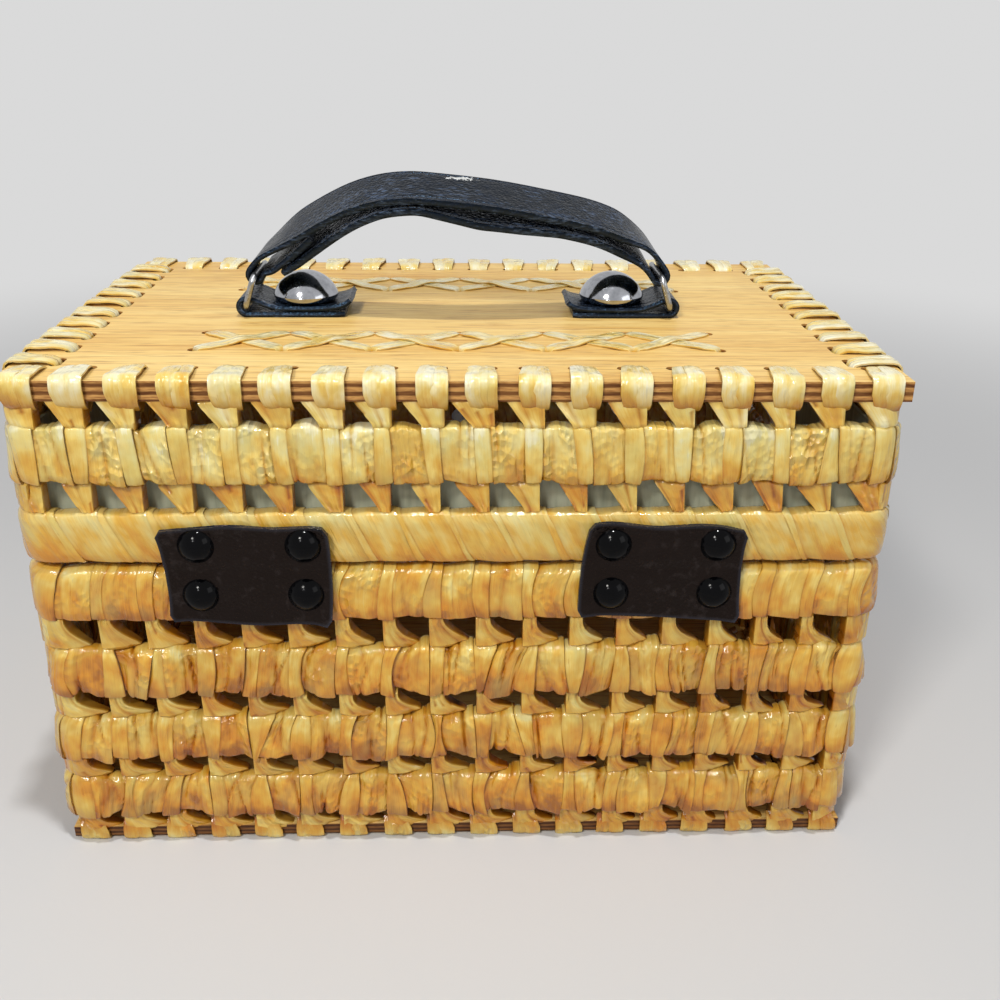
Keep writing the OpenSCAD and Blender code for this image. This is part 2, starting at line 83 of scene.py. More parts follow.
# Stitches round the case
LONG_COUNT = 18
SHORT_COUNT = 10
LONG_SPAN = PANEL_HIGH[0] - PANEL_LOW[0]
SHORT_END = 13.0
SHORT_SPAN = PANEL_HIGH[1] - PANEL_LOW[1] - 2 * SHORT_END


def smooth_step(low, high, value):
    """0 below low, 1 above high, with soft ends."""
    part = np.clip((np.asarray(value, float) - low) / (high - low), 0.0, 1.0)
    return part * part * (3.0 - 2.0 * part)


def bump(centre, reach, value):
    """Soft hill of height 1 at centre, gone at reach on both sides."""
    part = np.clip(1.0 - np.abs(np.asarray(value, float) - centre) / reach, 0.0, 1.0)
    return part * part * (3.0 - 2.0 * part)


def unit(vectors):
    """Vectors of length 1."""
    return vectors / np.linalg.norm(vectors, axis=-1, keepdims=True)


def walked_along(points):
    """Way along a path to each of its points."""
    return np.concatenate([[0], np.cumsum(np.linalg.norm(np.diff(points, axis=0), axis=1))])


def curve_through(points, count):
    """Even samples on a smooth curve through the points."""
    points = np.asarray(points, float)
    padded = np.vstack([2 * points[0] - points[1], points, 2 * points[-1] - points[-2]])
    fine = 12
    out = []
    for k in range(len(points) - 1):
        p0, p1, p2, p3 = padded[k:k + 4]
        for t in np.arange(fine) / fine:
            out.append(0.5 * (2 * p1 + (p2 - p0) * t + (2 * p0 - 5 * p1 + 4 * p2 - p3) * t * t
                              + (3 * p1 - p0 - 3 * p2 + p3) * t ** 3))
    out = np.vstack([out, points[-1:]])
    walked = walked_along(out)
    even = np.linspace(0, walked[-1], count)
    return np.stack([np.interp(even, walked, out[:, axis]) for axis in range(points.shape[1])], axis=1)


class Loop:
    """Rounded rectangle in plan, walked to the right as seen from outside, from the hinge side's middle."""

    def __init__(self, half_x, half_y, radius):
        self.half_x, self.half_y, self.radius = half_x, half_y, radius
        self.straights = [2 * (half_x - radius), 2 * (half_y - radius)] * 2
        self.arc = math.pi / 2 * radius
        self.length = sum(self.straights) + 4 * self.arc

    def side_middle(self, side):
        """Way along the loop to the middle of a side."""
        before = sum(self.straights[:side]) + side * self.arc
        return before + self.straights[side] / 2 - self.straights[0] / 2

    def at(self, way):
        """Points and outward directions in plan at these ways along the loop."""
        way = np.mod(np.asarray(way, float) + self.straights[0] / 2, self.length)
        x, y = np.zeros_like(way), np.zeros_like(way)
        nx, ny = np.zeros_like(way), np.zeros_like(way)
        start = 0.0
        for side in range(4):
            turn = -math.pi / 2 + side * math.pi / 2
            out = np.array([math.cos(turn), math.sin(turn)])
            ahead = np.array([-out[1], out[0]])
            reach = self.half_y if side % 2 == 0 else self.half_x
            length = self.straights[side]
            here = (way >= start) & (way < start + length)
            along = way[here] - start - length / 2
            x[here] = out[0] * reach + ahead[0] * along
            y[here] = out[1] * reach + ahead[1] * along
            nx[here], ny[here] = out
            start += length
            here = (way >= start) & (way < start + self.arc)
            angle = turn + (way[here] - start) / self.radius
            centre = out * (reach - self.radius) + ahead * length / 2
            nx[here], ny[here] = np.cos(angle), np.sin(angle)
            x[here] = centre[0] + self.radius * nx[here]
            y[here] = centre[1] + self.radius * ny[here]
            start += self.arc
        return x, y, nx, ny


COIL_LOOP = Loop(COIL_MID_X, COIL_MID_Y, COIL_CORNER_R)


def side_stitches(side):
    """Places of the stitches along a side, from its middle."""
    count, span = (LONG_COUNT, LONG_SPAN) if side % 2 == 0 else (SHORT_COUNT, SHORT_SPAN)
    return span * ((np.arange(count) + 0.5) / count - 0.5)


STITCH_WAYS = np.concatenate([COIL_LOOP.side_middle(side) + side_stitches(side) for side in range(4)])


def turn_outward(mesh, merge=None):
    """Turns all faces outward, after points closer than merge are joined."""
    work = bmesh.new()
    work.from_mesh(mesh)
    if merge:
        bmesh.ops.remove_doubles(work, verts=work.verts, dist=merge)
    bmesh.ops.recalc_face_normals(work, faces=work.faces)
    work.to_mesh(mesh)
    work.free()


def new_piece(name, mesh, material):
    mesh.materials.clear()
    mesh.materials.append(material)
    piece = bpy.data.objects.new(name, mesh)
    bpy.context.collection.objects.link(piece)
    return piece


# Distance in the grain between strips of different tint, so that each strip has its own
TINT_APART = 37.0


class Batch:
    """Closed tubes of rings in one mesh, with the attributes that the leaf and leather read."""

    def __init__(self):
        self.points, self.faces, self.values, self.rumples = [], [], [], []
        self.count = 0

    def tube(self, rings, values, loop=False, rumple=1.0):
        """rings is (n, m, 3) in millimetres, values is (n, m, 5): tint, shade, across, along, place."""
        n, m = rings.shape[:2]
        self.rumples.append(np.broadcast_to(rumple, (n, m)).ravel())
        index = self.count + np.arange(n * m).reshape(n, m)
        first = index if loop else index[:-1]
        second = np.roll(index, -1, axis=0) if loop else index[1:]
        quads = np.stack([first, np.roll(first, -1, axis=1), np.roll(second, -1, axis=1), second], axis=-1)
        self.faces.append(quads.reshape(-1, 4))
        if not loop:
            self.faces.append(index[:1, ::-1])
            self.faces.append(index[-1:])
        self.points.append(rings.reshape(-1, 3))
        self.values.append(values.reshape(-1, 5))
        self.count += n * m

    def build(self, name, material, sharp=40.0):
        points = np.concatenate(self.points) * MM
        values = np.concatenate(self.values)
        mesh = bpy.data.meshes.new(name)
        mesh.from_pydata(points, [], [face for block in self.faces for face in block.tolist()])
        singles = {"tint": values[:, 0], "shade": values[:, 1], "place": values[:, 4],
                   "rumple": np.concatenate(self.rumples)}
        for key, column in singles.items():
            layer = mesh.attributes.new(key, "FLOAT", "POINT")
            layer.data.foreach_set("value", column.astype(np.float32))
        strip = np.stack([values[:, 2], values[:, 3], values[:, 0] * TINT_APART], axis=1)
        layer = mesh.attributes.new("strip", "FLOAT_VECTOR", "POINT")
        layer.data.foreach_set("vector", strip.astype(np.float32).ravel())
        turn_outward(mesh)
        mesh.polygons.foreach_set("use_smooth", np.ones(len(mesh.polygons), bool))
        mesh.set_sharp_from_angle(angle=math.radians(sharp))
        return new_piece(name, mesh, material)


def settle(piece, body, slot, *nodes):
    """Lets a piece ride on its body in place of its CAD nodes."""
    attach(piece, body)
    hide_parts(*nodes)


# Materials

WHITE = (255, 255, 255)
PLIES = 5.0


def rgb(colour):
    """sRGB bytes as a linear colour."""
    def linear(byte):
        value = byte / 255
        return value / 12.92 if value <= 0.04045 else ((value + 0.055) / 1.055) ** 2.4
    return (*(linear(byte) for byte in colour), 1.0)


class Field:
    """Output of a shader node, with plain arithmetic."""

    def __init__(self, look, socket):
        self.look, self.socket = look, socket

    def math(self, operation, other=0.0, clamp=False):
        return self.look.node("Math", "Value", {0: self, 1: other}, operation=operation, use_clamp=clamp)

    def __add__(self, other):
        return self.math("ADD", other)

    def __sub__(self, other):
        return self.math("SUBTRACT", other)

    def __mul__(self, other):
        return self.math("MULTIPLY", other)

    def __abs__(self):
        return self.math("ABSOLUTE")

    def axis(self, name):
        return self.look.node("SeparateXYZ", name, {"Vector": self})

    def stretch(self, scale):
        return self.look.node("Mapping", "Vector", {"Vector": self, "Scale": scale})

    def length(self):
        return self.look.node("VectorMath", "Value", {0: self}, operation="LENGTH")

    def noise(self, scale, detail=3.0, roughness=0.55):
        """Noise at this place. Three scales stretch it."""
        place, scale = (self.stretch(scale), 1.0) if isinstance(scale, tuple) else (self, scale)
        inputs = {"Vector": place, "Scale": scale, "Detail": detail, "Roughness": roughness}
        return self.look.node("TexNoise", "Fac", inputs)

    def remap(self, low, high, to_low=0.0, to_high=1.0, curve="LINEAR"):
        inputs = {"Value": self, "From Min": low, "From Max": high, "To Min": to_low, "To Max": to_high}
        return self.look.node("MapRange", "Result", inputs, interpolation_type=curve)

    def ramp(self, *stops):
        """Colour through (position, sRGB colour) stops."""
        colour = self.look.node("ValToRGB", "Color", {"Fac": self})
        elements = colour.socket.node.color_ramp.elements
        while len(elements) < len(stops):
            elements.new(0.5)
        for element, (position, stop) in zip(elements, stops):
            element.position = position
            element.color = rgb(stop)
        return colour

    def mixed(self, factor, other, blend="MIX"):
        """This colour with another one mixed in."""
        return self.look.node("Mix", 2, {0: factor, 6: self, 7: other}, data_type="RGBA", blend_type=blend)


class Look:
    """Shader nodes of a material or of the world."""

    def __init__(self, tree):
        self.tree = tree

    def set(self, node, inputs):
        """Gives a node its input values and links."""
        for key, value in inputs.items():
            if isinstance(value, Field):
                self.tree.links.new(value.socket, node.inputs[key])
            else:
                node.inputs[key].default_value = value

    def node(self, kind, output, inputs, **settings):
        """Output of a new node."""
        made = self.tree.nodes.new("ShaderNode" + kind)
        for key, value in settings.items():
            setattr(made, key, value)
        self.set(made, inputs)
        return Field(self, made.outputs[output])

    def attribute(self, name, output="Fac"):
        return self.node("Attribute", output, {}, attribute_name=name)

    def place(self, output="Object"):
        return self.node("TexCoord", output, {})

    def seen(self):
        """1 for what the camera sees directly or in a mirror, else 0."""
        kinds = ("Is Camera Ray", "Is Glossy Ray", "Is Transmission Ray")
        camera, glossy, transmission = (self.node("LightPath", kind, {}) for kind in kinds)
        return camera.math("MAXIMUM", glossy).math("MAXIMUM", transmission)

    def dress(self, inputs, height=None, strength=0.0, distance=0.0):
        """Sets the surface's inputs, and its relief."""
        shader = self.tree.nodes["Principled BSDF"]
        self.set(shader, inputs)
        if height:
            relief = {"Height": height, "Strength": strength, "Distance": distance}
            normal = self.node("Bump", "Normal", relief)
            self.set(shader, {"Normal": normal, "Coat Normal": normal})
        return Field(self, shader.outputs["BSDF"])


def new_material(name):
    material = bpy.data.materials.new(name)
    material.use_nodes = True
    return material, Look(material.node_tree)


def leaf_material(name, stops, gloss=0.3, crinkle=1.0):
    """Varnished leaf: soft fibres along the strip, a tint for each strip, paper-like creases, amber foot,
    coils paler towards the top partly as painted top light, and painted shade.
    """
    material, look = new_material(name)
    strip = look.attribute("strip", "Vector")
    fibre = strip.noise((2.4, 0.05, 1.0))
    patch = strip.noise((0.16, 0.09, 1.0), 2.0)
    ridges = {"Vector": strip.stretch((0.4, 0.05, 1.0)), "Scale": 1.0, "Detail": 2.0, "Roughness": 0.55,
              "Offset": 1.0, "Gain": 1.5}
    folds = look.node("TexNoise", "Fac", ridges, noise_type="RIDGED_MULTIFRACTAL")
    bends = {"Vector": strip.stretch((0.42, 0.3, 1.0)), "Scale": 1.0}
    bent = look.node("TexVoronoi", "Distance", bends, voronoi_dimensions="2D")
    where = strip.noise((0.12, 0.08, 1.0), 1.0).remap(0.4, 0.6, 0.1, 1.0) * look.attribute("rumple")
    # Higher place gives a paler colour. On the coils place rises from foot to top, so their paler tops are
    # partly painted top light.
    value = look.attribute("tint") * 0.36 + look.attribute("place") * 0.5
    value = value + patch.remap(0.32, 0.68, -0.26, 0.3)
    value = value.math("ADD", fibre.remap(0.3, 0.7, -0.07, 0.07), clamp=True)
    cast = strip.noise((0.07, 0.05, 1.0), 2.0).remap(0.48, 0.7, 0.0, 0.4)
    stains = strip.noise((1.5, 0.25, 1.0), 2.0).ramp((0.2, (190, 132, 60)), (0.33, WHITE))
    # Painted shade: the shade attribute darkens the leaf under its neighbours, in creases, at feet and edges
    # and where strips go into holes.
    painted_shade = look.attribute("shade").ramp((0.0, WHITE), (0.4, (222, 190, 126)), (0.75, (128, 92, 46)),
                                        (1.0, (48, 28, 14)))
    colour = value.ramp(*stops).mixed(cast, rgb((198, 186, 106)))
    colour = colour.mixed(0.4, stains, "MULTIPLY").mixed(1.0, painted_shade, "MULTIPLY")
    height = fibre * 0.06 + folds * 0.14 + bent * where * (0.9 * crinkle)
    look.dress({"Base Color": colour, "Roughness": patch.remap(0.3, 0.7, gloss - 0.06, gloss + 0.2),
                "Specular IOR Level": 0.2, "Coat Weight": 0.9, "Coat Roughness": 0.1}, height, 0.9, 0.0013)
    return material


def plywood_material(name, low, high, dark_ply, pale_ply):
    """Varnished plywood: fine orange-tan grain along X on the faces, dark and pale plies on the edges."""
    material, look = new_material(name)
    place = look.place()
    grain = place.noise((14.0, 420.0, 60.0), 5.0, 0.6)
    pores = place.noise((60.0, 1500.0, 200.0), 2.0)
    face = (grain + place.noise((5.0, 34.0, 20.0))).remap(0.7, 1.3)
    face = face.ramp((0.0, (214, 162, 80)), (0.5, (235, 197, 119)), (1.0, (245, 217, 146)))
    face = face.mixed(0.5, pores.ramp((0.34, (150, 92, 44)), (0.44, WHITE)), "MULTIPLY")
    wander = place.noise((60.0, 60.0, 300.0), 2.0).remap(0.3, 0.7, -0.14, 0.14)
    level = place.axis("Z").remap(low * MM, high * MM, 0.0, PLIES) + wander
    edge = level.math("PINGPONG", 1.0).ramp((0.35, dark_ply), (0.6, pale_ply))
    fuzz = place.noise((220.0, 220.0, 1500.0)).ramp((0.3, (150, 104, 62)), (0.6, WHITE))
    is_face = abs(look.place("Normal").axis("Z")).math("GREATER_THAN", 0.6)
    look.dress({"Base Color": edge.mixed(0.7, fuzz, "MULTIPLY").mixed(is_face, face),
                "Roughness": grain.remap(0.3, 0.7, 0.36, 0.5), "Specular IOR Level": 0.22},
               grain + pores, 0.25, 0.0004)
    return material


def sewn(look, stitch_at, colour, height):
    """Stitches in a groove, at this distance from the middle of the band: colour and height with them."""
    strip = look.attribute("strip", "Vector")
    off_line = abs(abs(strip.axis("X")) - stitch_at)
    thread = off_line.remap(0.5, 0.2) * strip.axis("Y").math("PINGPONG", STITCH_LEN / 2).remap(0.2, 0.5)
    height = height - off_line.remap(1.0, 0.4) * 0.8 + thread * 1.6
    return colour.mixed(thread * 0.5, rgb((70, 78, 92))), height


def chipped(look, chip_at, colour):
    """Colour with a ragged pale chip."""
    place = look.place()
    away = look.node("Mapping", "Vector", {"Vector": place, "Location": [-part for part in chip_at]})
    away = away.stretch((0.8, 2.6, 2.6)).length() + place.noise(360.0).remap(0.3, 0.7, -0.0032, 0.0032)
    return colour.mixed(away.remap(0.0038, 0.0031), rgb((214, 216, 214)))


def leather_material(name, colours, sheen, shine, scuff_and_sheen_colour, streak, stitch_at=None, chip_at=None):
    """Worn black leather: pebbled, with pale scuffs that on the strap are also painted sheen, and cut edges.
    """
    material, look = new_material(name)
    place = look.place()
    pebble = look.node("TexVoronoi", "Distance", {"Vector": place, "Scale": 800.0})
    worn = place.noise(120.0, 5.0, 0.65)
    scuff_and_sheen = place.noise(streak, 4.0, 0.6) + place.noise(26.0, 2.0).remap(0.35, 0.65, -0.1, 0.1)
    colour = worn.ramp(*zip((0.3, 0.6, 0.8), colours))
    # Pale streaks: scuffs, and on the strap also painted sheen.
    colour = colour.mixed(scuff_and_sheen.ramp((0.58, (0, 0, 0)), (0.78, (150, 150, 150))), rgb(scuff_and_sheen_colour))
    # The shade attribute marks the cut edges, which are paler.
    colour = colour.mixed(look.attribute("shade"), rgb((52, 56, 66)))
    height = pebble * 0.5 + worn
    if stitch_at:
        colour, height = sewn(look, stitch_at, colour, height)
    if chip_at:
        colour = chipped(look, chip_at, colour)
    look.dress({"Base Color": colour, "Roughness": worn.remap(0.3, 0.7, 0.18, 0.36),
                "Specular IOR Level": shine, "Specular Tint": sheen}, height, 0.7, 0.0006)
    return material


def metal_material(name, colour, rough, scale, metallic=1.0, specular=0.5):
    """Metal or enamel with faint uneven polish."""
    material, look = new_material(name)
    haze = look.place().noise(scale, 4.0, 0.6)
    dark = tuple(int(byte * 0.82) for byte in colour)
    look.dress({"Base Color": haze.ramp((0.3, dark), (0.62, colour)), "Metallic": metallic,
                "Roughness": haze.remap(0.3, 0.75, rough, rough + 0.12), "Specular IOR Level": specular},
               haze, 0.06, 0.0004)
    return material


def liner_material(name):
    """Grey-green fibrous strip inside the lid."""
    material, look = new_material(name)
    fibre = look.place().noise((500.0, 500.0, 40.0), 4.0)
    value = fibre * 0.6 + look.place().noise(60.0) * 0.4
    colour = value.ramp((0.3, (146, 153, 134)), (0.5, (178, 185, 164)), (0.7, (198, 203, 182)))
    look.dress({"Base Color": colour, "Roughness": 0.7}, fibre, 0.4, 0.0005)
    return material


DEEP = (164, 100, 26)
AMBER = (206, 138, 34)
GOLD = (219, 170, 62)
CREAM = (232, 202, 108)
PALE = (230, 216, 146)
LEAF = leaf_material("leaf_golden", [(0.0, DEEP), (0.24, AMBER), (0.55, GOLD), (0.82, CREAM), (1.0, PALE)])
UPPER_LEAF = leaf_material("leaf_upper", [(0.0, AMBER), (0.3, GOLD), (0.6, CREAM), (0.9, PALE),
                                          (1.0, (236, 230, 190))], 0.22, 1.6)
PALE_LEAF = leaf_material("leaf_pale", [(0.0, AMBER), (0.34, GOLD), (0.7, (224, 196, 112)),
                                        (1.0, (220, 206, 142))], 0.24, 0.25)
LACING = leaf_material("leaf_lacing", [(0.0, (196, 136, 50)), (0.3, GOLD), (0.55, CREAM),
                                       (0.8, (238, 224, 168)), (1.0, (240, 235, 204))], 0.26, 0.35)
BINDING = leaf_material("leaf_binding", [(0.0, DEEP), (0.25, AMBER), (0.5, GOLD), (0.8, CREAM), (1.0, PALE)],
                        0.3, 0.7)
STRAP_W = 23.5
STITCH_LEN = 3.2
STITCH_INSET = 2.2
CHIP_AT = (0.001, -0.0045, LID_TOP * MM + 0.0532)
LEATHER = leather_material("leather_black", ((3, 2, 2), (6, 4, 4), (18, 13, 12)), (1, 0.72, 0.62, 1), 0.22,
                           (66, 60, 60), (260.0, 60.0, 260.0))
# Strap: its bluish tone is partly painted sheen, and its pale blue streaks are scuffs and painted sheen.
STRAP_LEATHER = leather_material("leather_strap", ((2, 3, 7), (4, 7, 15), (14, 24, 44)), (0.3, 0.6, 1.0, 1),
                                 0.2, (140, 166, 208), (240.0, 1100.0, 1100.0), STRAP_W / 2 - STITCH_INSET,
                                 CHIP_AT)

# Coils


def coil_section(height, top_box, foot_box):
    """Points and outward directions of a coil's section, outer face first. A low box makes a crisp edge."""
    half_t = COIL_T / 2
    flat = height / 2 - half_t
    outer, cap, inner = 9, 8, 3
    rise = np.linspace(-flat, flat, outer)
    turn = np.linspace(0, math.pi, cap + 2)[1:-1]
    sink = np.linspace(flat, -flat, inner)

    def boxed(value, box):
        return np.sign(value) * np.abs(value) ** box

    out = np.concatenate([np.ones(outer), boxed(np.cos(turn), top_box), -np.ones(inner),
                          -boxed(np.cos(turn), foot_box)])
    up = np.concatenate([np.zeros(outer), boxed(np.sin(turn), top_box), np.zeros(inner),
                         -boxed(np.sin(turn), foot_box)])
    level = np.concatenate([rise, np.full(cap, flat), sink, np.full(cap, -flat)])
    return out, up, level


# How one coil is wrapped. Lengths in millimetres
Row = namedtuple("Row", "widths slant wander bow step crown crumple scallop skirt hem boxes tint")
# A row that slants more than this is plain: wide slanting wraps with narrow ones between them
PLAIN_SLANT = 3.0


def crumpled_row(slant, wander, hem, tint):
    """One of the three lower rows of the body, which are alike."""
    return Row((5.6, 11.3), slant, wander, 0.4, 0.35, 0.0, 1.4, 0.6, 1.1, hem, (0.72, 0.28), tint)


ROWS = {
    "lid_upper_coil": Row((5.6, 11.3), 0.6, 1.4, 0.0, 0.3, 0.1, 1.0, 0.5, 0.0, 0.35, (0.4, 0.5), (0.5, 1.1)),
    "lid_rim_coil": Row((14.4, 2.5), 9.0, 1.2, 0.0, 0.24, 0.1, 0.2, 0.8, -0.3, 0.1, (0.65, 0.4), (0.3, 0.9)),
    "body_rim_coil": Row((5.2, 11.7), -1.6, 2.6, 1.4, 0.5, 0.1, 0.6, 0.35, 0.6, 0.5, (0.8, 0.36),
                         (0.2, 0.85)),
    "upper_coil": crumpled_row(-1.2, 3.4, 0.9, (0.05, 0.75)),
    "lower_coil": crumpled_row(-1.0, 3.6, 0.9, (0.0, 0.75)),
    "bottom_coil": crumpled_row(-0.8, 3.6, 0.7, (-0.1, 0.55)),
}
FILL_SAMPLES = np.concatenate([[0.0, 0.02], np.linspace(0.06, 0.94, 17), [0.98, 1.0]])
STRIP_SAMPLES = np.concatenate([[0.0, 0.05], np.linspace(0.14, 0.86, 6), [0.95, 1.0]])
CORE_INSET = 0.9
# Distance in the grain from one wrap to the next
WRAP_APART = 40.0
# Share of a wrap's width that each of its edges takes, and how far the edges are tucked in
WRAP_EDGE = 0.03
STRIP_TUCK = 0.2
FILL_TUCK = 0.12
STRIP_LIFT = 0.4
STRIP_CROWN = 0.1
WAVE_DEPTH = 0.22
CREASE_SHADE = 0.35
# Share of a coil's half height where its top and its foot begin
SHOULDER = 0.45


def wrap_edges(row):
    """(start, end, is a stitch strip) of each wrap round the loop."""
    wraps = []
    strip_w, fill_w = row.widths
    for k, way in enumerate(STITCH_WAYS):
        after = STITCH_WAYS[(k + 1) % len(STITCH_WAYS)]
        after += COIL_LOOP.length if after < way else 0.0
        start, end = way + strip_w / 2, after - strip_w / 2
        wraps.append((way - strip_w / 2, start, True))
        fills = max(1, round((end - start) / fill_w))
        cuts = np.linspace(start, end, fills + 1)
        wraps += [(cuts[i], cuts[i + 1], False) for i in range(fills)]
    return wraps


def crumpled(f, rise, count):
    """Flat facets with straight creases between them, from -1 to 1."""
    def sheet():
        level, slope = rng.uniform(-0.4, 0.4), rng.normal(0, 3.0)
        return level + slope * (f - rng.uniform(0, 1)) + rng.normal(0, 0.8) * rise

    total = np.zeros(np.broadcast_shapes(f.shape, rise.shape))
    for pick in (np.maximum, np.minimum):
        total = total + pick.reduce([sheet() for _ in range(count)])
    total = total - total.mean()
    return total / np.abs(total).max()


def wrap_relief(row, is_strip, f, rise, outside):
    """Lift of one wrap over the coil and the depth of its creases: f across the wrap, rise up the coil."""
    plain = row.slant > PLAIN_SLANT
    rough = row.crumple * (0.3 if is_strip != plain else 1.0)
    crown = 4 * f * (1 - f)
    if is_strip and not plain:
        lift = STRIP_LIFT + STRIP_CROWN * crown - STRIP_TUCK * ((f < WRAP_EDGE) | (f > 1 - WRAP_EDGE))
    else:
        is_wide = is_strip or not plain
        slope = f if is_wide else 1 - f
        lift = row.step * slope + row.crown * is_wide * crown ** 0.7 - FILL_TUCK * (f > 1 - WRAP_EDGE)
    facets = crumpled(f, rise, 2 if is_strip else 4)
    lift = lift + rough * facets
    crease = CREASE_SHADE * rough * np.clip(-facets, 0, 1) ** 2
    for _ in range(0 if plain else 1 if is_strip else round(2 * row.crumple)):
        middle = rng.uniform(0.08, 0.92) + rng.normal(0, 0.12) * rise
        pleat = np.exp(-np.abs(f - middle) / rng.uniform(0.03, 0.06))
        pleat = pleat * smooth_step(-1.2, 0.2, rise * rng.choice([-1, 1]) + rng.uniform(-0.4, 0.6))
        size = rough * rng.uniform(0.3, 0.9)
        lift = lift - size * pleat
        crease = crease + size * pleat
    wave = rng.uniform(0, 6.28, 3)
    lift = lift + WAVE_DEPTH * rough * np.sin(2.6 * rise + wave[0] + 2.0 * f) * np.cos(5.0 * f + wave[1])
    top = smooth_step(SHOULDER, 1.0, rise)
    foot = smooth_step(-SHOULDER, -1.0, rise)
    bulge = is_strip * (f - 0.55) if plain else 0.3 * crown - 0.3 + rng.normal(0, 0.2)
    lift = lift + row.scallop * bulge * top - row.scallop * 0.25 * (1 - crown) * foot
    return lift - row.skirt * rise * outside, crease


def wrap_shade(row, is_strip, f, rise, outside, crease):
    """Painted shade where a wrap goes under its neighbours, in its creases, at its foot and inside."""
    plain = row.slant > PLAIN_SLANT
    under = 0.4 * np.exp(-(1 - f) / 0.03) + (0.9 if is_strip == plain else 0.5) * np.exp(-f / 0.05)
    under = under * (1.0 if not plain else 0.6 if is_strip else 0.15)
    foot = smooth_step(-SHOULDER, -1.0, rise)
    shade = 0.42 * under + 0.5 * crease / max(row.crumple, 0.3) + 0.16 * foot + 0.06 * (1 - outside)
    return np.clip(shade, 0, 1)


def make_coil(node, body, material, slot):
    row = ROWS[node]
    low, high = node_box(node)
    height = high[2] - low[2]
    out, up, level = coil_section(height, *row.boxes)
    rise = (level + up * COIL_T / 2) / (height / 2)
    wraps = wrap_edges(row)
    lean = row.slant + rng.normal(0.0, row.wander * 0.6, len(wraps))
    bend = row.bow + rng.normal(0.0, row.wander * 0.25, len(wraps))
    outside = np.clip(out, 0.0, 1.0)
    plain = row.slant > PLAIN_SLANT
    rings, values, rumples = [], [], []
    for k, (start, end, is_strip) in enumerate(wraps):
        f = (STRIP_SAMPLES if is_strip else FILL_SAMPLES)[:, None]
        pair = (k, (k + 1) % len(wraps))
        shift = [-lean[i] / 2 * rise - bend[i] * (1 - rise ** 2) for i in pair]
        lift, crease = wrap_relief(row, is_strip, f, rise, outside)
        reach = COIL_T / 2 - CORE_INSET + lift
        x, y, nx, ny = COIL_LOOP.at(start + f * (end - start) + (1 - f) * shift[0] + f * shift[1])
        hem = row.hem * (0.8 + np.clip(rng.normal(0, 0.7), -1, 1) + rng.normal(0, 1.0) * (f - 0.5))
        z = (low[2] + high[2]) / 2 + level + up * reach + hem * smooth_step(0.3, -1.0, rise)
        rings.append(np.stack([x + nx * out * reach, y + ny * out * reach, z], axis=-1))
        tint = rng.uniform(*row.tint)
        across = (f - 0.5) * (end - start) + WRAP_APART * k
        shade = wrap_shade(row, is_strip, f, rise, outside, crease)
        # place rises from the foot to the top of the coil. The leaf ramp makes the top paler, partly as
        # painted top light.
        parts = (tint, shade, across, rise * height / 2, (rise + 1) / 2)
        values.append(np.stack([np.broadcast_to(part, lift.shape) for part in parts], axis=-1))
        rumples.append(np.full_like(lift, 0.1 if is_strip != plain else rng.uniform(0.3, 1.1)))
    batch = Batch()
    batch.tube(np.concatenate(rings), np.concatenate(values), True, np.concatenate(rumples))
    settle(batch.build(node + "_wraps", material, 25.0), body, slot, node)


for node in ("bottom_coil", "lower_coil", "upper_coil", "body_rim_coil"):
    make_coil(node, "case_body", LEAF, "leaf")
make_coil("lid_rim_coil", "lid", PALE_LEAF, "pale_leaf")
make_coil("lid_upper_coil", "lid", UPPER_LEAF, "leaf")

# Lashings between the coils

LASHING_W = 5.0
EDGE_LASHING_W = 7.5
LASHING_T = 5.0
LASHING_FLARE = 7.0
LASHING_SUNK = 2.2
LASHING_FOLD = 0.45
# How far a lashing's hidden ends stand back
LASHING_TUCK = 1.8
FLAG_LEAN = 1.5
# Section of a lashing, across its width and through its thickness
LASHING_ACROSS = np.array([-1, -0.95, -0.72, -0.48, -0.24, 0.0, 0.24, 0.48, 0.72, 0.95, 1, 1, 0, -1.0])
LASHING_DEPTH = np.array([0.6, 0.95, 1, 1, 1, 1, 1, 1, 1, 0.95, 0.6, -1, -1, -1.0])
CORNER_LASHING_W = 1.3 * LASHING_W
CORNER_WAYS = [COIL_LOOP.side_middle(side) + (COIL_LOOP.straights[side] + COIL_LOOP.arc) / 2
               for side in range(4)]
# How a lashing spreads: flare, hollow of its slanting edge, how far its spread end leans back
Bind = namedtuple("Bind", "flare hollow recede")
FLAG = Bind(LASHING_FLARE, (0.9, 1.15), 0.7)
COLLAR = Bind(LASHING_FLARE * 1.3, (1.6, 2.8), 2.6)
PLAIN = Bind(0.0, (1.0, 1.2), 0.0)


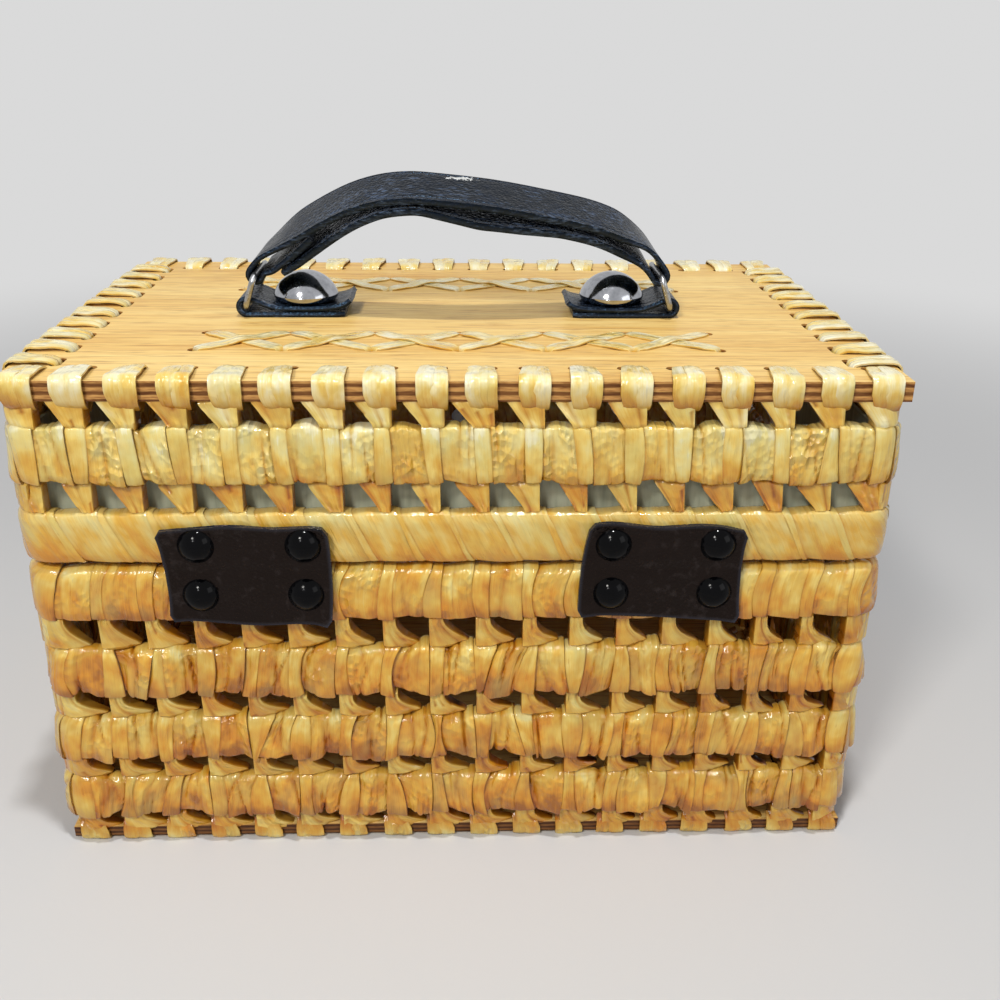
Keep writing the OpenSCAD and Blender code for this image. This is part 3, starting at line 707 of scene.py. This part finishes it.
def lashing_rings(low, high, flare_top, way, width, outer, inner, bind):
    """Bound leaf between two coils: one straight edge, the other slanting out, in a fan of folded strips."""
    seen = np.linspace(low - 0.4, high + 0.4, 10)
    levels = np.concatenate([[low - LASHING_SUNK], seen, [high + LASHING_SUNK]])
    rise = np.clip((levels - low) / (high - low), 0, 1)
    wide = (rise if flare_top else 1 - rise) ** rng.uniform(*bind.hollow)
    wide = wide * bind.flare * rng.uniform(0.8, 1.12)
    half = width / 2 * rng.uniform(0.85, 1.1)
    left = -half - (wide if flare_top else 0 * wide)
    right = half + (0 * wide if flare_top else wide)
    middle, half_w = (left + right) / 2, (right - left) / 2
    x = middle[:, None] + half_w[:, None] * LASHING_ACROSS
    fan = np.broadcast_to((LASHING_ACROSS + 1) / 2, x.shape)
    turns, start = rng.uniform(1.2, 2.8), rng.uniform(0, 1)
    saw = np.mod(turns * fan + start + rng.normal(0, 0.1) * rise[:, None], 1.0)
    fold = np.clip((-x if flare_top else x) - half, 0, None) / LASHING_FLARE
    sunk = ((levels < low - 1) | (levels > high + 1))[:, None]
    front = LASHING_DEPTH > 0
    o = (outer + inner) / 2 + (outer - inner) / 2 * LASHING_DEPTH
    lean = FLAG_LEAN * rise[:, None] if bind is FLAG else 0.0
    o = o + (LASHING_FOLD * saw - bind.recede * fold - LASHING_TUCK * sunk - 0.3 - lean) * front
    z = np.broadcast_to(levels[:, None], x.shape) + rng.normal(0, 0.08) * x + rng.normal(0, 0.05, x.shape)
    px, py, nx, ny = COIL_LOOP.at(way + x)
    rings = np.stack([px + nx * o, py + ny * o, z], axis=-1)
    tint = np.full_like(x, rng.uniform(0.1, 1.0))
    # Painted shade under each fold's overlapping edge, on the sides and back, along the flare and on the sunk
    # ends.
    dark = 0.6 * np.exp(-saw / 0.1) + 0.5 * (LASHING_DEPTH < 0.8) + 0.15 * fold + 0.25 * sunk
    place = 0.45 + 0.3 * np.clip(fold, 0, 1) if bind.recede > 1 else np.full_like(x, 0.5)
    dark = np.clip(dark + 0 * x, 0, 1)
    return rings, np.stack([tint, dark, fan * 8 + WRAP_APART * tint, z, place], axis=-1)


def make_lashing(node, body, flare_top):
    low, high = node_box(node)
    batch = Batch()
    outer, inner = LASHING_T / 2 + 1.2, -LASHING_T / 2
    for way in STITCH_WAYS:
        bind = FLAG if flare_top else COLLAR
        batch.tube(*lashing_rings(low[2], high[2], flare_top, way, LASHING_W, outer, inner, bind))
    for way in CORNER_WAYS:
        batch.tube(*lashing_rings(low[2], high[2], flare_top, way, CORNER_LASHING_W, outer, inner, PLAIN))
    settle(batch.build(node + "_turns", BINDING), body, "leaf", node)


for node in ("lower_lashing", "middle_lashing", "upper_lashing"):
    make_lashing(node, "case_body", False)
make_lashing("lid_lashing", "lid", True)


def ribbon(path, normals, across, widths, thick, crown=0.0, edge_shade=0.0, tint=0.5, shade=0.0, place=0.6,
           apart=WRAP_APART):
    """Closed strip along a path: widths across it, crowned, thick along the normals. Rings and values."""
    n = len(path)
    part = np.array([-1.0, -0.96, -0.6, 0.0, 0.6, 0.96, 1.0, 0.96, 0.6, 0.0, -0.6, -0.96])
    side = np.array([0.0, 1.0, 1.0, 1.0, 1.0, 1.0, 0.0, -1.0, -1.0, -1.0, -1.0, -1.0])
    widths = np.broadcast_to(np.asarray(widths, float), n)
    thick = np.broadcast_to(np.asarray(thick, float), n)
    swell = crown * (1 - part ** 2)
    rings = (path[:, None] + across[:, None] * (part[None, :, None] * widths[:, None, None] / 2)
             + normals[:, None] * (side * thick[:, None] / 2 + swell)[..., None])
    shape = (n, len(part))
    shade, place = (np.broadcast_to(value, n)[:, None] for value in (shade, place))
    sideways = part * widths[:, None] / 2 + apart * tint
    # edge_shade raises the shade value on the thin edges: painted shade on leaf, the paler cut edge on
    # leather.
    shade = np.clip(shade + edge_shade * (side == 0), 0, 1)
    parts = (tint, shade, sideways, walked_along(path)[:, None], place)
    return rings, np.stack([np.broadcast_to(value, shape) for value in parts], axis=-1)


def turned(points, side):
    """Points of the hinge side's frame, turned to another side."""
    angle = side * math.pi / 2
    cos, sin = math.cos(angle), math.sin(angle)
    points = np.asarray(points, float)
    return np.stack([cos * points[..., 0] - sin * points[..., 1], sin * points[..., 0] + cos * points[..., 1],
                     points[..., 2]], axis=-1)


# Lacing over the edges of the panels

LACE_W = 6.2
LACE_T = 0.75
LACE_SAMPLES = 22
TAIL_SAMPLES = 8
# Half the distance between the two strips of a stitch: at the coil, at the panel's edge and at the slot
FOOT_PAIR = 1.7
EDGE_PAIR = 2.35
SLOT_PAIR = 1.45
# Room under the base panel for a strip to lie flat, to the middle of the strip
FLOOR_ROOM = 0.5
FLOOR_GAP = 0.02


def edge_curve(outline, samples):
    """Points and normals along an (outward, level) outline."""
    flat = curve_through(outline, samples)
    tangent = unit(np.gradient(flat, axis=0))
    return flat, np.stack([tangent[:, 1], -tangent[:, 0]], axis=1)


def lace_tail(x, reach, outline, tint):
    """End of the strips: outline out of their slot, on the panel's inner face, and back to the coil."""
    flat, normal = edge_curve(outline, TAIL_SAMPLES)
    none = np.zeros(TAIL_SAMPLES)
    path = np.stack([none + x, -(reach + flat[:, 0]), flat[:, 1]], axis=1)
    normals = np.stack([none, -normal[:, 0], normal[:, 1]], axis=1)
    across = np.tile([1.0, 0.0, 0.0], (TAIL_SAMPLES, 1))
    # A little painted shade on the tail, which lies on the panel's inner face.
    return ribbon(path, normals, across, LACE_W, LACE_T, 0.3, 0.3, tint, 0.15, 0.5)


def lace_strip(x_foot, x_edge, x_slot, reach, outline, lift, tint):
    """One strip: outline from the coil, round the panel's edge and into its slot."""
    flat, normal = edge_curve(outline, LACE_SAMPLES)
    n = len(flat)
    if normal[n // 3, 0] < 0:
        normal = -normal
    walk = np.linspace(0, 1, n)
    x = np.interp(walk, [0, 0.2, 0.4, 0.95, 1.0], [x_foot, x_edge, x_edge, x_slot, x_slot])
    flat = flat + normal * lift[:, None]
    flat[:, 1] = np.maximum(flat[:, 1], BASE_FOOT - FLOOR_ROOM)
    path = np.stack([x, -(reach + flat[:, 0]), flat[:, 1]], axis=1)
    normals = np.stack([0 * x, -normal[:, 0], normal[:, 1]], axis=1)
    across = np.tile([1.0, 0.0, 0.0], (n, 1))
    widths = LACE_W * np.interp(walk, [0, 0.2, 0.45, 0.8, 1.0], [0.85, 1.0, 1.0, 0.8, 0.45])
    place = np.interp(walk, [0, 0.2, 0.4, 0.85, 1.0], [0.2, 0.55, 1.0, 0.95, 0.4])
    # Painted shade where the strip comes out from under the coil and where it dives into its slot.
    shade = np.interp(walk, [0, 0.12, 0.3, 0.84, 0.93, 1.0], [0.6, 0.25, 0.0, 0.0, 0.4, 0.95])
    rings, values = ribbon(path, normals, across, widths, LACE_T, 0.42, 0.3, tint, shade, place)
    rings[..., 2] = np.maximum(rings[..., 2], FLOOR_GAP)
    return rings, values


def make_edge_lacing(node, body, half_x, half_y, outline, tail, band, flare_top):
    """Two strips at each stitch, on a bound collar that reaches the next coil."""
    batch = Batch()
    outline = np.asarray(outline, float)
    for side in range(4):
        reach = half_y if side % 2 == 0 else half_x
        for x in side_stitches(side):
            way = COIL_LOOP.side_middle(side) + x
            inset = (COIL_MID_Y if side % 2 == 0 else COIL_MID_X) - reach
            batch.tube(*lashing_rings(*band, flare_top, way, EDGE_LASHING_W, 1.5 - inset, -LASHING_T / 2,
                                      FLAG if flare_top else COLLAR))
            skew = rng.normal(0, 0.7)
            lean = rng.uniform(-0.6, 0.6)
            over = rng.choice([-1, 1])
            flare = -1.0 if flare_top else 1.0
            rings, values = lace_tail(x + lean, reach, tail, rng.uniform(0.3, 0.8))
            batch.tube(turned(rings, side), values)
            for half in (-1, 1):
                jitter = rng.normal(0, 0.16, outline.shape) * np.linspace(1, 0.6, len(outline))[:, None]
                rise = np.abs(rng.normal(0.1, 0.12)) + 0.34 * (half == over)
                walk = np.linspace(0, 1, LACE_SAMPLES)
                lift = rise * bump(0.55, 0.5, walk) + 0.5 * rng.uniform(0.2, 1.0) * bump(0.66, 0.2, walk)
                foot_x = x + half * FOOT_PAIR - flare * 0.6
                edge_x = x + half * EDGE_PAIR + lean + flare * 0.5
                slot_x = x + half * SLOT_PAIR + lean + skew
                rings, values = lace_strip(foot_x, edge_x, slot_x, reach, outline + jitter, lift,
                                           rng.uniform(0.35, 1.0))
                batch.tube(turned(rings, side), values)
    for way in CORNER_WAYS:
        batch.tube(*lashing_rings(*band, flare_top, way, CORNER_LASHING_W, LASHING_T / 2, -LASHING_T / 2,
                                  PLAIN))
    settle(batch.build(node + "_strips", LACING if flare_top else LEAF, 55.0), body, "leaf", node)


UPPER_COIL_TOP = node_box("lid_upper_coil")[1][2]
BOTTOM_COIL_FOOT = node_box("bottom_coil")[0][2]
LID_LACE = [(-1.4, LID_FOOT - 3.0), (0.7, LID_FOOT - 0.5), (1.2, LID_FOOT + 2.5),
            (1.3, LID_TOP - 2.2), (0.9, LID_TOP + 0.3), (-0.9, LID_TOP + 1.3),
            (-6.0, LID_TOP + 0.9), (-12.0, LID_TOP + 0.6), (-14.4, LID_TOP + 0.1),
            (-15.3, LID_TOP - 2.0), (-15.5, LID_FOOT + 1.0)]
LID_TAIL = [(-15.5, LID_FOOT + 2.0), (-15.6, LID_FOOT - 0.6), (-14.6, LID_FOOT - 2.6),
            (-12.0, LID_FOOT - 4.6), (-9.5, LID_FOOT - 6.5)]
BASE_LACE = [(-1.4, BASE_TOP + 3.0), (0.7, BASE_TOP + 0.5), (1.1, BASE_TOP - 1.0),
             (1.1, BASE_FOOT + 1.6), (0.6, BASE_FOOT + 0.1), (-0.8, BASE_FOOT - 0.42),
             (-6.0, BASE_FOOT - 0.45), (-12.0, BASE_FOOT - 0.42), (-14.4, BASE_FOOT + 0.1),
             (-15.2, BASE_FOOT + 1.6), (-15.4, BASE_TOP - 1.0)]
BASE_TAIL = [(-15.5, BASE_TOP - 1.5), (-15.6, BASE_TOP + 0.6), (-14.6, BASE_TOP + 2.4),
             (-12.0, BASE_TOP + 4.2), (-9.5, BASE_TOP + 5.8)]
make_edge_lacing("lid_edge_lacing", "lid", PANEL_HIGH[0], PANEL_HIGH[1], LID_LACE, LID_TAIL,
                 (UPPER_COIL_TOP, LID_FOOT), True)

make_edge_lacing("base_edge_lacing", "case_body", BASE_HIGH[0], BASE_HIGH[1], BASE_LACE, BASE_TAIL,
                 (BASE_TOP, BOTTOM_COIL_FOOT), False)

# Crossed strips on the lid

CROSS_COUNT = 6
CROSS_W = 31.6
CROSS_D = 23.4
CROSS_STRIP_W = 6.6
CROSS_STRIP_T = 0.6


def make_crosses(node):
    low, high = node_box(node)
    middle_y = (low[1] + high[1]) / 2
    batch = Batch()
    for k in range(CROSS_COUNT):
        centre = CROSS_W * (k + 0.5 - CROSS_COUNT / 2)
        over = rng.choice([-1, 1])
        for way in (-1, 1):
            walk = np.linspace(0, 1, 24)
            run = 2 * walk - 1
            x = centre + run * (CROSS_W / 2 + 0.3) + rng.normal(0, 0.3) * (1 - run ** 2)
            y = middle_y + way * run * (CROSS_D / 2 + 0.3) + rng.normal(0, 0.3) * (1 - run ** 2)
            hump = 0.95 * bump(0, 0.42, run) if way == over else 0 * run
            dive = 3.6 * smooth_step(0.9, 1.04, np.abs(run))
            bulge = 0.35 * rng.uniform(0.3, 1.0) * bump(0.62 * rng.choice([-1, 1]), 0.3, run)
            z = LID_TOP + 0.4 + hump + bulge - dive
            path = np.stack([x, y, z], axis=1)
            normals = np.tile([0.0, 0.0, 1.0], (len(x), 1))
            narrowing = 1 - 0.45 * smooth_step(0.72, 1.0, np.abs(run))
            widths = CROSS_STRIP_W * narrowing * rng.uniform(0.92, 1.06)
            # Painted shade where the strips dive into their holes.
            shade = 0.02 + 0.85 * smooth_step(0.9, 1.0, np.abs(run))
            across = np.tile(unit(np.cross([CROSS_W, way * CROSS_D, 0], [0, 0, 1.0])), (len(x), 1))
            batch.tube(*ribbon(path, normals, across, widths, CROSS_STRIP_T, 0.12, 0.4, rng.uniform(0.5, 1.0),
                               shade, 0.8))
    settle(batch.build(node + "_strips", LACING, 55.0), "lid", "leaf", node)


for node in ("cross_stitch_rear", "cross_stitch_front"):
    make_crosses(node)

# Leather of the handle

LEATHER_T = 2.0
JOINT_AT = {joint["name"]: np.array(joint["pos_m"]) / MM for joint in frame["joints"]}
RING_X, RING_Z = JOINT_AT["right_ring_pivot"][0], JOINT_AT["right_ring_pivot"][2]
STRAP_END_X, STRAP_END_Z = -JOINT_AT["strap_pivot"][0], JOINT_AT["strap_pivot"][2]
LOOP_R = RING_Z - LID_TOP - LEATHER_T
TAB_W = 26.0


def leather_band(path, width, thick=LEATHER_T, tilt=None, offset=None):
    """Leather ribbon along an (x, z) path. tilt turns it about X, offset moves it along Y."""
    path = np.asarray(path, float)
    tangent = unit(np.gradient(path, axis=0))
    tilt = np.zeros(len(path)) if tilt is None else tilt
    offset = np.zeros(len(path)) if offset is None else offset
    across = np.stack([0 * tilt, np.cos(tilt), np.sin(tilt)], axis=1)
    along = np.stack([tangent[:, 0], 0 * tilt, tangent[:, 1]], axis=1)
    normals = unit(np.cross(along, across))
    points = np.stack([path[:, 0], offset, path[:, 1]], axis=1)
    return ribbon(points, normals, across, width, thick, edge_shade=0.55, apart=0.0)


def loop_turn(centre, radius, start, end, count=14):
    """Arc of a loop round a ring's bar, in degrees."""
    angle = np.radians(np.linspace(start, end, count))
    return np.stack([centre[0] + radius * np.cos(angle), centre[1] + radius * np.sin(angle)], axis=1)


def make_tab(node, side):
    """Folded tab: flat lower layer, loop round the ring's bar, upper layer with a curled inner end."""
    inner_x = np.abs([corner[0] for corner in node_box(node)]).min()
    low_z = LID_TOP + LEATHER_T / 2
    high_z = LID_TOP + 1.5 * LEATHER_T + 0.3
    radius = LOOP_R + LEATHER_T / 2
    lower = curve_through([(inner_x + 0.5, low_z + 0.1), (inner_x + 10, low_z), (RING_X - 1, low_z)], 24)
    turn = loop_turn((RING_X, RING_Z), radius, -88, 96)
    upper = curve_through([(RING_X - 2.2, RING_Z + radius - 0.3), (RING_X - 6, high_z + 2.0),
                           (RING_X - 11, high_z + 0.3), (RING_X - 15, high_z), (inner_x + 11, high_z),
                           (inner_x + 4, high_z + 0.5), (inner_x, high_z + 1.7),
                           (inner_x - 1.8, high_z + 3.0)], 34)
    path = np.vstack([lower[:-1], turn, upper[1:]])
    walk = np.linspace(0, 1, len(path))
    width = TAB_W + 0.4 * np.sin(9 * walk + side) - 1.6 * bump(0.0, 0.03, walk) - 1.8 * bump(1.0, 0.04, walk)
    rings, values = leather_band(path, width)
    wave = 0.45 * np.sin(rings[..., 1] * 0.3 + side) * smooth_step(0.75, 1.0, walk)[:, None]
    rings[..., 2] += wave
    rings[..., 0] *= side
    batch = Batch()
    batch.tube(rings, values)
    settle(batch.build(node + "_leather", STRAP_LEATHER), "lid", "black_leather", node)


for node, side in (("handle_tab_left", -1), ("handle_tab_right", 1)):
    make_tab(node, side)

STRAP_LEAN = math.radians(19)
STRAP_SWAY = 12.0
STRAP_PAD = 0.7
STRAP_HALF = 84
# (x, height above the panel) of the middle of the strap's upper layer
STRAP_ARCH = [(-82.4, 18.6), (-79, 22.6), (-72, 27.8), (-64, 33.2), (-53, 39.8), (-42, 45.2), (-31, 48.6),
              (-20, 50.0), (-9, 49.6), (12, 47.4), (33, 43.4), (55, 38.0), (72, 30.2), (79, 23.2),
              (82.4, 18.6)]
# (x, drop) of the lower layer's middle under the upper one's
STRAP_DROP = [(-76, 11.0), (-64.7, 9.8), (-55, 8.6), (-47, 7.2), (-39, 5.8), (-29, 4.4), (-15, 3.8), (8, 7.0),
              (23, 6.4), (39, 4.8), (53, 5.0), (63, 5.6), (71, 7.0), (76, 9.0)]
TONGUE_END_X = -57.0


def make_strap(node):
    """One leather band: tongue, left ring bar, arch, right ring bar, lower layer that sags under the arch."""
    radius = LOOP_R + LEATHER_T / 2
    arch = curve_through([(x, LID_TOP + z) for x, z in STRAP_ARCH], 60)

    def below(x, drop):
        return np.stack([x, np.interp(x, arch[:, 0], arch[:, 1]) - drop], axis=1)

    under_x = np.linspace(75, -69, 44)
    under = below(under_x, np.interp(under_x, *zip(*STRAP_DROP)))
    right_turn = loop_turn((STRAP_END_X, STRAP_END_Z), radius, 20, -125, 12)
    left_turn = loop_turn((-STRAP_END_X, STRAP_END_Z), radius, 395, 160, 18)
    tongue_x = np.linspace(TONGUE_END_X, -STRAP_END_X + 6, 8)
    tongue = below(tongue_x, np.linspace(3.4, 8.0, 8))
    path = np.vstack([tongue, left_turn, arch[2:-2], right_turn, under])
    path = curve_through(path, 260)
    for _ in range(3):
        path[1:-1] = (path[:-2] + 2 * path[1:-1] + path[2:]) / 4
    middle = bump(0, STRAP_HALF, path[:, 0])
    tilt = STRAP_LEAN * smooth_step(STRAP_HALF, 60, np.abs(path[:, 0]))
    thick = LEATHER_T + STRAP_PAD * smooth_step(74, 62, np.abs(path[:, 0]))
    rings, values = leather_band(path, STRAP_W, thick, tilt, -STRAP_SWAY * middle)
    batch = Batch()
    batch.tube(rings, values)
    settle(batch.build(node + "_leather", STRAP_LEATHER), "strap", "black_leather", node)


make_strap("handle_strap")

# Leather patches of the hinges and the closure

HINGE_X = 72.0
# Corners (x, z) of each worn patch from its middle: upper left, upper right, lower left, lower right
PATCH_CORNERS = {-1: ((-31.2, 16.0), (27.4, 16.6), (-29.2, -19.0), (27.1, -22.0)),
                 1: ((-27.0, 18.2), (27.9, 15.6), (-30.5, -17.9), (27.6, -20.2))}
STUD_PITCH = 36.7
STUD_FROM_SEAM = 9.5
# Relief of the patches: dip at the seam and round the studs, curl of corners and rims
SEAM_DIP = 0.45
STUD_DIP = 0.5
STUD_DIP_R = 7.5
CORNER_CURL = 2.1
RIM_CURL = 0.7


def leather_sheet(shape, count_x=44, count_z=30):
    """Closed sheet with paler cut edges: shape(u, v, depth) gives the points of its two faces."""
    u = np.linspace(-1, 1, count_x)
    is_end = np.isin(np.arange(2 * count_x) % count_x, (0, count_x - 1))
    rings = []
    values = np.zeros((count_z, 2 * count_x, 5))
    values[..., 0] = 0.5
    for k, v in enumerate(np.linspace(-1, 1, count_z)):
        edge_u = u * (1 - 0.055 * smooth_step(0.86, 1.0, abs(v)))
        level = np.full_like(u, v)
        rings.append(np.vstack([shape(edge_u, level, 0.0), shape(edge_u[::-1], level, LEATHER_T)]))
        values[k, :, 1] = 0.5 if k in (0, count_z - 1) else 0.6 * is_end
    batch = Batch()
    batch.tube(np.array(rings), values)
    return batch


def make_hinge(node, side):
    outer_y = node_box(node)[0][1] - 0.35
    phase = rng.uniform(0, 6.28, 6)
    upper_left, upper_right, lower_left, lower_right = np.array(PATCH_CORNERS[side])

    def shape(u, v, depth):
        right, top = ((u + 1) / 2)[:, None], ((v + 1) / 2)[:, None]
        place = (top * (upper_left * (1 - right) + upper_right * right)
                 + (1 - top) * (lower_left * (1 - right) + lower_right * right))
        x = side * HINGE_X + place[:, 0] + 0.5 * np.sin(2.2 * v + phase[0]) * np.abs(u)
        z = SEAM_Z + place[:, 1] + 0.7 * np.sin(3.4 * u + phase[1]) * v * (1 - u * u)
        z = z + 0.3 * np.sin(6 * u + phase[2]) * np.abs(v)
        y = outer_y + SEAM_DIP * np.exp(-((z - SEAM_Z) / 2.2) ** 2)
        for stud_x in (-STUD_PITCH / 2, STUD_PITCH / 2):
            for stud_z in (-STUD_FROM_SEAM, STUD_FROM_SEAM):
                away = np.hypot(x - side * HINGE_X - stud_x, z - SEAM_Z - stud_z)
                y = y + STUD_DIP * np.exp(-(away / STUD_DIP_R) ** 2)
        corner = np.clip(np.abs(u) - 0.72, 0, None) / 0.28 * np.clip(np.abs(v) - 0.5, 0, None) / 0.5
        rim = np.clip(np.abs(v) - 0.75, 0, None) / 0.25
        y = y - CORNER_CURL * corner ** 1.5 - RIM_CURL * rim * (0.5 + 0.5 * np.sin(5 * u + phase[3]))
        return np.stack([x, y + depth, z], axis=-1)

    piece = leather_sheet(shape).build(node + "_patch", LEATHER)
    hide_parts(node)
    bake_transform(piece)


for node, side in (("hinge_leather_left", -1), ("hinge_leather_right", 1)):
    make_hinge(node, side)

BUTTON_SLOT = (17.0, 9.0)


def round_outline(curve, width, height, radius, centre, reverse=False):
    """Closed poly spline of a rounded rectangle, in metres."""
    points = []
    for corner in range(4):
        mid = math.pi / 4 + corner * math.pi / 2
        sx, sz = np.sign(math.cos(mid)), np.sign(math.sin(mid))
        for angle in np.linspace(mid - math.pi / 4, mid + math.pi / 4, 9):
            points.append((centre[0] + sx * (width / 2 - radius) + radius * math.cos(angle),
                           centre[1] + sz * (height / 2 - radius) + radius * math.sin(angle)))
    points = points[::-1] if reverse else points
    spline = curve.splines.new("POLY")
    spline.points.add(len(points) - 1)
    for point, (x, z) in zip(spline.points, points):
        point.co = (x * MM, z * MM, 0.0, 1.0)
    spline.use_cyclic_u = True


def make_closure(node):
    low, high = node_box(node)
    curve = bpy.data.curves.new(node + "_outline", "CURVE")
    curve.dimensions = "2D"
    curve.fill_mode = "BOTH"
    bevel = 0.35
    curve.extrude = ((high[1] - low[1]) / 2 - bevel) * MM
    curve.bevel_depth = bevel * MM
    curve.bevel_resolution = 3
    curve.offset = -bevel * MM
    round_outline(curve, high[0] - low[0], high[2] - low[2], 5.0, (0, 0))
    round_outline(curve, *BUTTON_SLOT, BUTTON_SLOT[1] / 2 - 0.01, (0, -STUD_FROM_SEAM), True)
    shaped = bpy.data.objects.new(node + "_outline", curve)
    bpy.context.collection.objects.link(shaped)
    mesh = bpy.data.meshes.new_from_object(shaped.evaluated_get(bpy.context.evaluated_depsgraph_get()))
    bpy.data.objects.remove(shaped)
    centre = Vector((0, (low[1] + high[1]) / 2, SEAM_Z)) * MM
    mesh.transform(Matrix.Translation(centre) @ Matrix.Rotation(math.pi / 2, 4, "X"))
    turn_outward(mesh, merge=1e-6)
    settle(new_piece(node + "_leather", mesh, LEATHER), "lid", "black_leather", node)


make_closure("closure_tab")

# Materials of the CAD nodes that stay

CHROME = metal_material("chrome_worn", (186, 188, 194), 0.06, 240.0)
STEEL = metal_material("wire_steel", (176, 178, 180), 0.24, 500.0)
ENAMEL = metal_material("black_enamel", (4, 4, 6), 0.05, 300.0, 0.0, 0.1)
KEPT = {
    "lid_panel": plywood_material("plywood_lid", LID_FOOT, LID_TOP, (124, 80, 38), (206, 154, 88)),
    "base_panel": plywood_material("plywood_base", BASE_FOOT, BASE_TOP, (78, 46, 22), (132, 88, 46)),
    "lid_liner": liner_material("liner_grey"),
    **dict.fromkeys(("handle_stud_left", "handle_stud_right", "turn_button"), CHROME),
    **dict.fromkeys(("handle_nut_left", "handle_nut_right", "handle_ring_left", "handle_ring_right",
                     "turn_post"), STEEL),
    **dict.fromkeys(("hinge_studs_lid", "hinge_studs_body", "closure_studs"), ENAMEL),
}
for node, material in KEPT.items():
    mesh = frame["nodes"][node].data
    mesh.materials.clear()
    mesh.materials.append(material)

# Floor, light and camera

BACKDROP = (0.7, 0.7, 0.7, 1)


def make_stage():
    """Pale floor that keeps the shadow near the case and runs into an even backdrop."""
    material, look = new_material("floor_pale")
    surface = look.dress({"Base Color": (0.62, 0.62, 0.62, 1), "Roughness": 0.9})
    far = look.place().stretch((1.0, 1.0, 0.0)).length().remap(0.35, 1.1, curve="SMOOTHSTEP")
    glow = look.node("Emission", "Emission", {"Color": BACKDROP})
    mixed = look.node("MixShader", "Shader", {"Fac": far * look.seen(), 1: surface, 2: glow})
    look.set(look.tree.nodes["Material Output"], {"Surface": mixed})
    bpy.ops.mesh.primitive_plane_add(size=12.0, location=(0, 0, 0))
    floor = bpy.context.object
    floor.name = "floor"
    floor.data.materials.append(material)


def make_world():
    """Soft even light, seen by the camera as the pale backdrop."""
    world = bpy.data.worlds.new("studio")
    bpy.context.scene.world = world
    world.use_nodes = True
    look = Look(world.node_tree)
    soft = look.tree.nodes["Background"]
    look.set(soft, {"Color": (0.93, 0.95, 1.0, 1), "Strength": 0.24})
    plain = look.node("Background", "Background", {"Color": BACKDROP})
    even = Field(look, soft.outputs["Background"])
    mixed = look.node("MixShader", "Shader", {"Fac": look.seen(), 1: even, 2: plain})
    look.set(look.tree.nodes["World Output"], {"Surface": mixed})


def make_area(name, place, aim, size, power, colour=(1, 1, 1)):
    light = bpy.data.lights.new(name, "AREA")
    light.shape = "RECTANGLE"
    light.size, light.size_y = size
    light.energy = power
    light.color = colour
    lamp = bpy.data.objects.new(name, light)
    lamp.location = place
    lamp.rotation_euler = (Vector(aim) - Vector(place)).to_track_quat("-Z", "Y").to_euler()
    bpy.context.collection.objects.link(lamp)


make_stage()
make_world()
make_area("key", (-0.42, -0.9, 1.05), (0, 0, 0.12), (0.2, 0.2), 8.4, (1.0, 0.97, 0.92))
make_area("top", (0.05, -0.25, 1.45), (0, 0, 0.15), (0.08, 0.06), 8.6)
make_area("glint", (-0.35, -1.1, 0.8), (0, 0, 0.12), (0.14, 0.14), 1.6)
make_area("fill", (1.1, -0.8, 0.7), (0, 0, 0.1), (0.7, 0.7), 2.5)

CAMERA_PLACE = (2.03, -440.7, 294.8)
CAMERA_YAW = 0.0352
CAMERA_PITCH = 0.4108
CAMERA_ROLL = 0.0119
FOCAL_PIXELS = 1089.9
IMAGE_PIXELS = 1000.0
SENSOR = 36.0


def make_camera():
    data = bpy.data.cameras.new("photo_camera")
    data.sensor_width = SENSOR
    data.lens = SENSOR * FOCAL_PIXELS / IMAGE_PIXELS
    data.clip_start = 0.01
    camera = bpy.data.objects.new("photo_camera", data)
    turn = Matrix.Rotation(-CAMERA_YAW, 4, "Z") @ Matrix.Rotation(math.pi / 2 - CAMERA_PITCH, 4, "X")
    turn = turn @ Matrix.Rotation(CAMERA_ROLL, 4, "Z")
    camera.matrix_world = Matrix.Translation(Vector(CAMERA_PLACE) * MM) @ turn
    bpy.context.collection.objects.link(camera)
    bpy.context.scene.camera = camera


make_camera()
bpy.context.scene.view_settings.view_transform = "Standard"
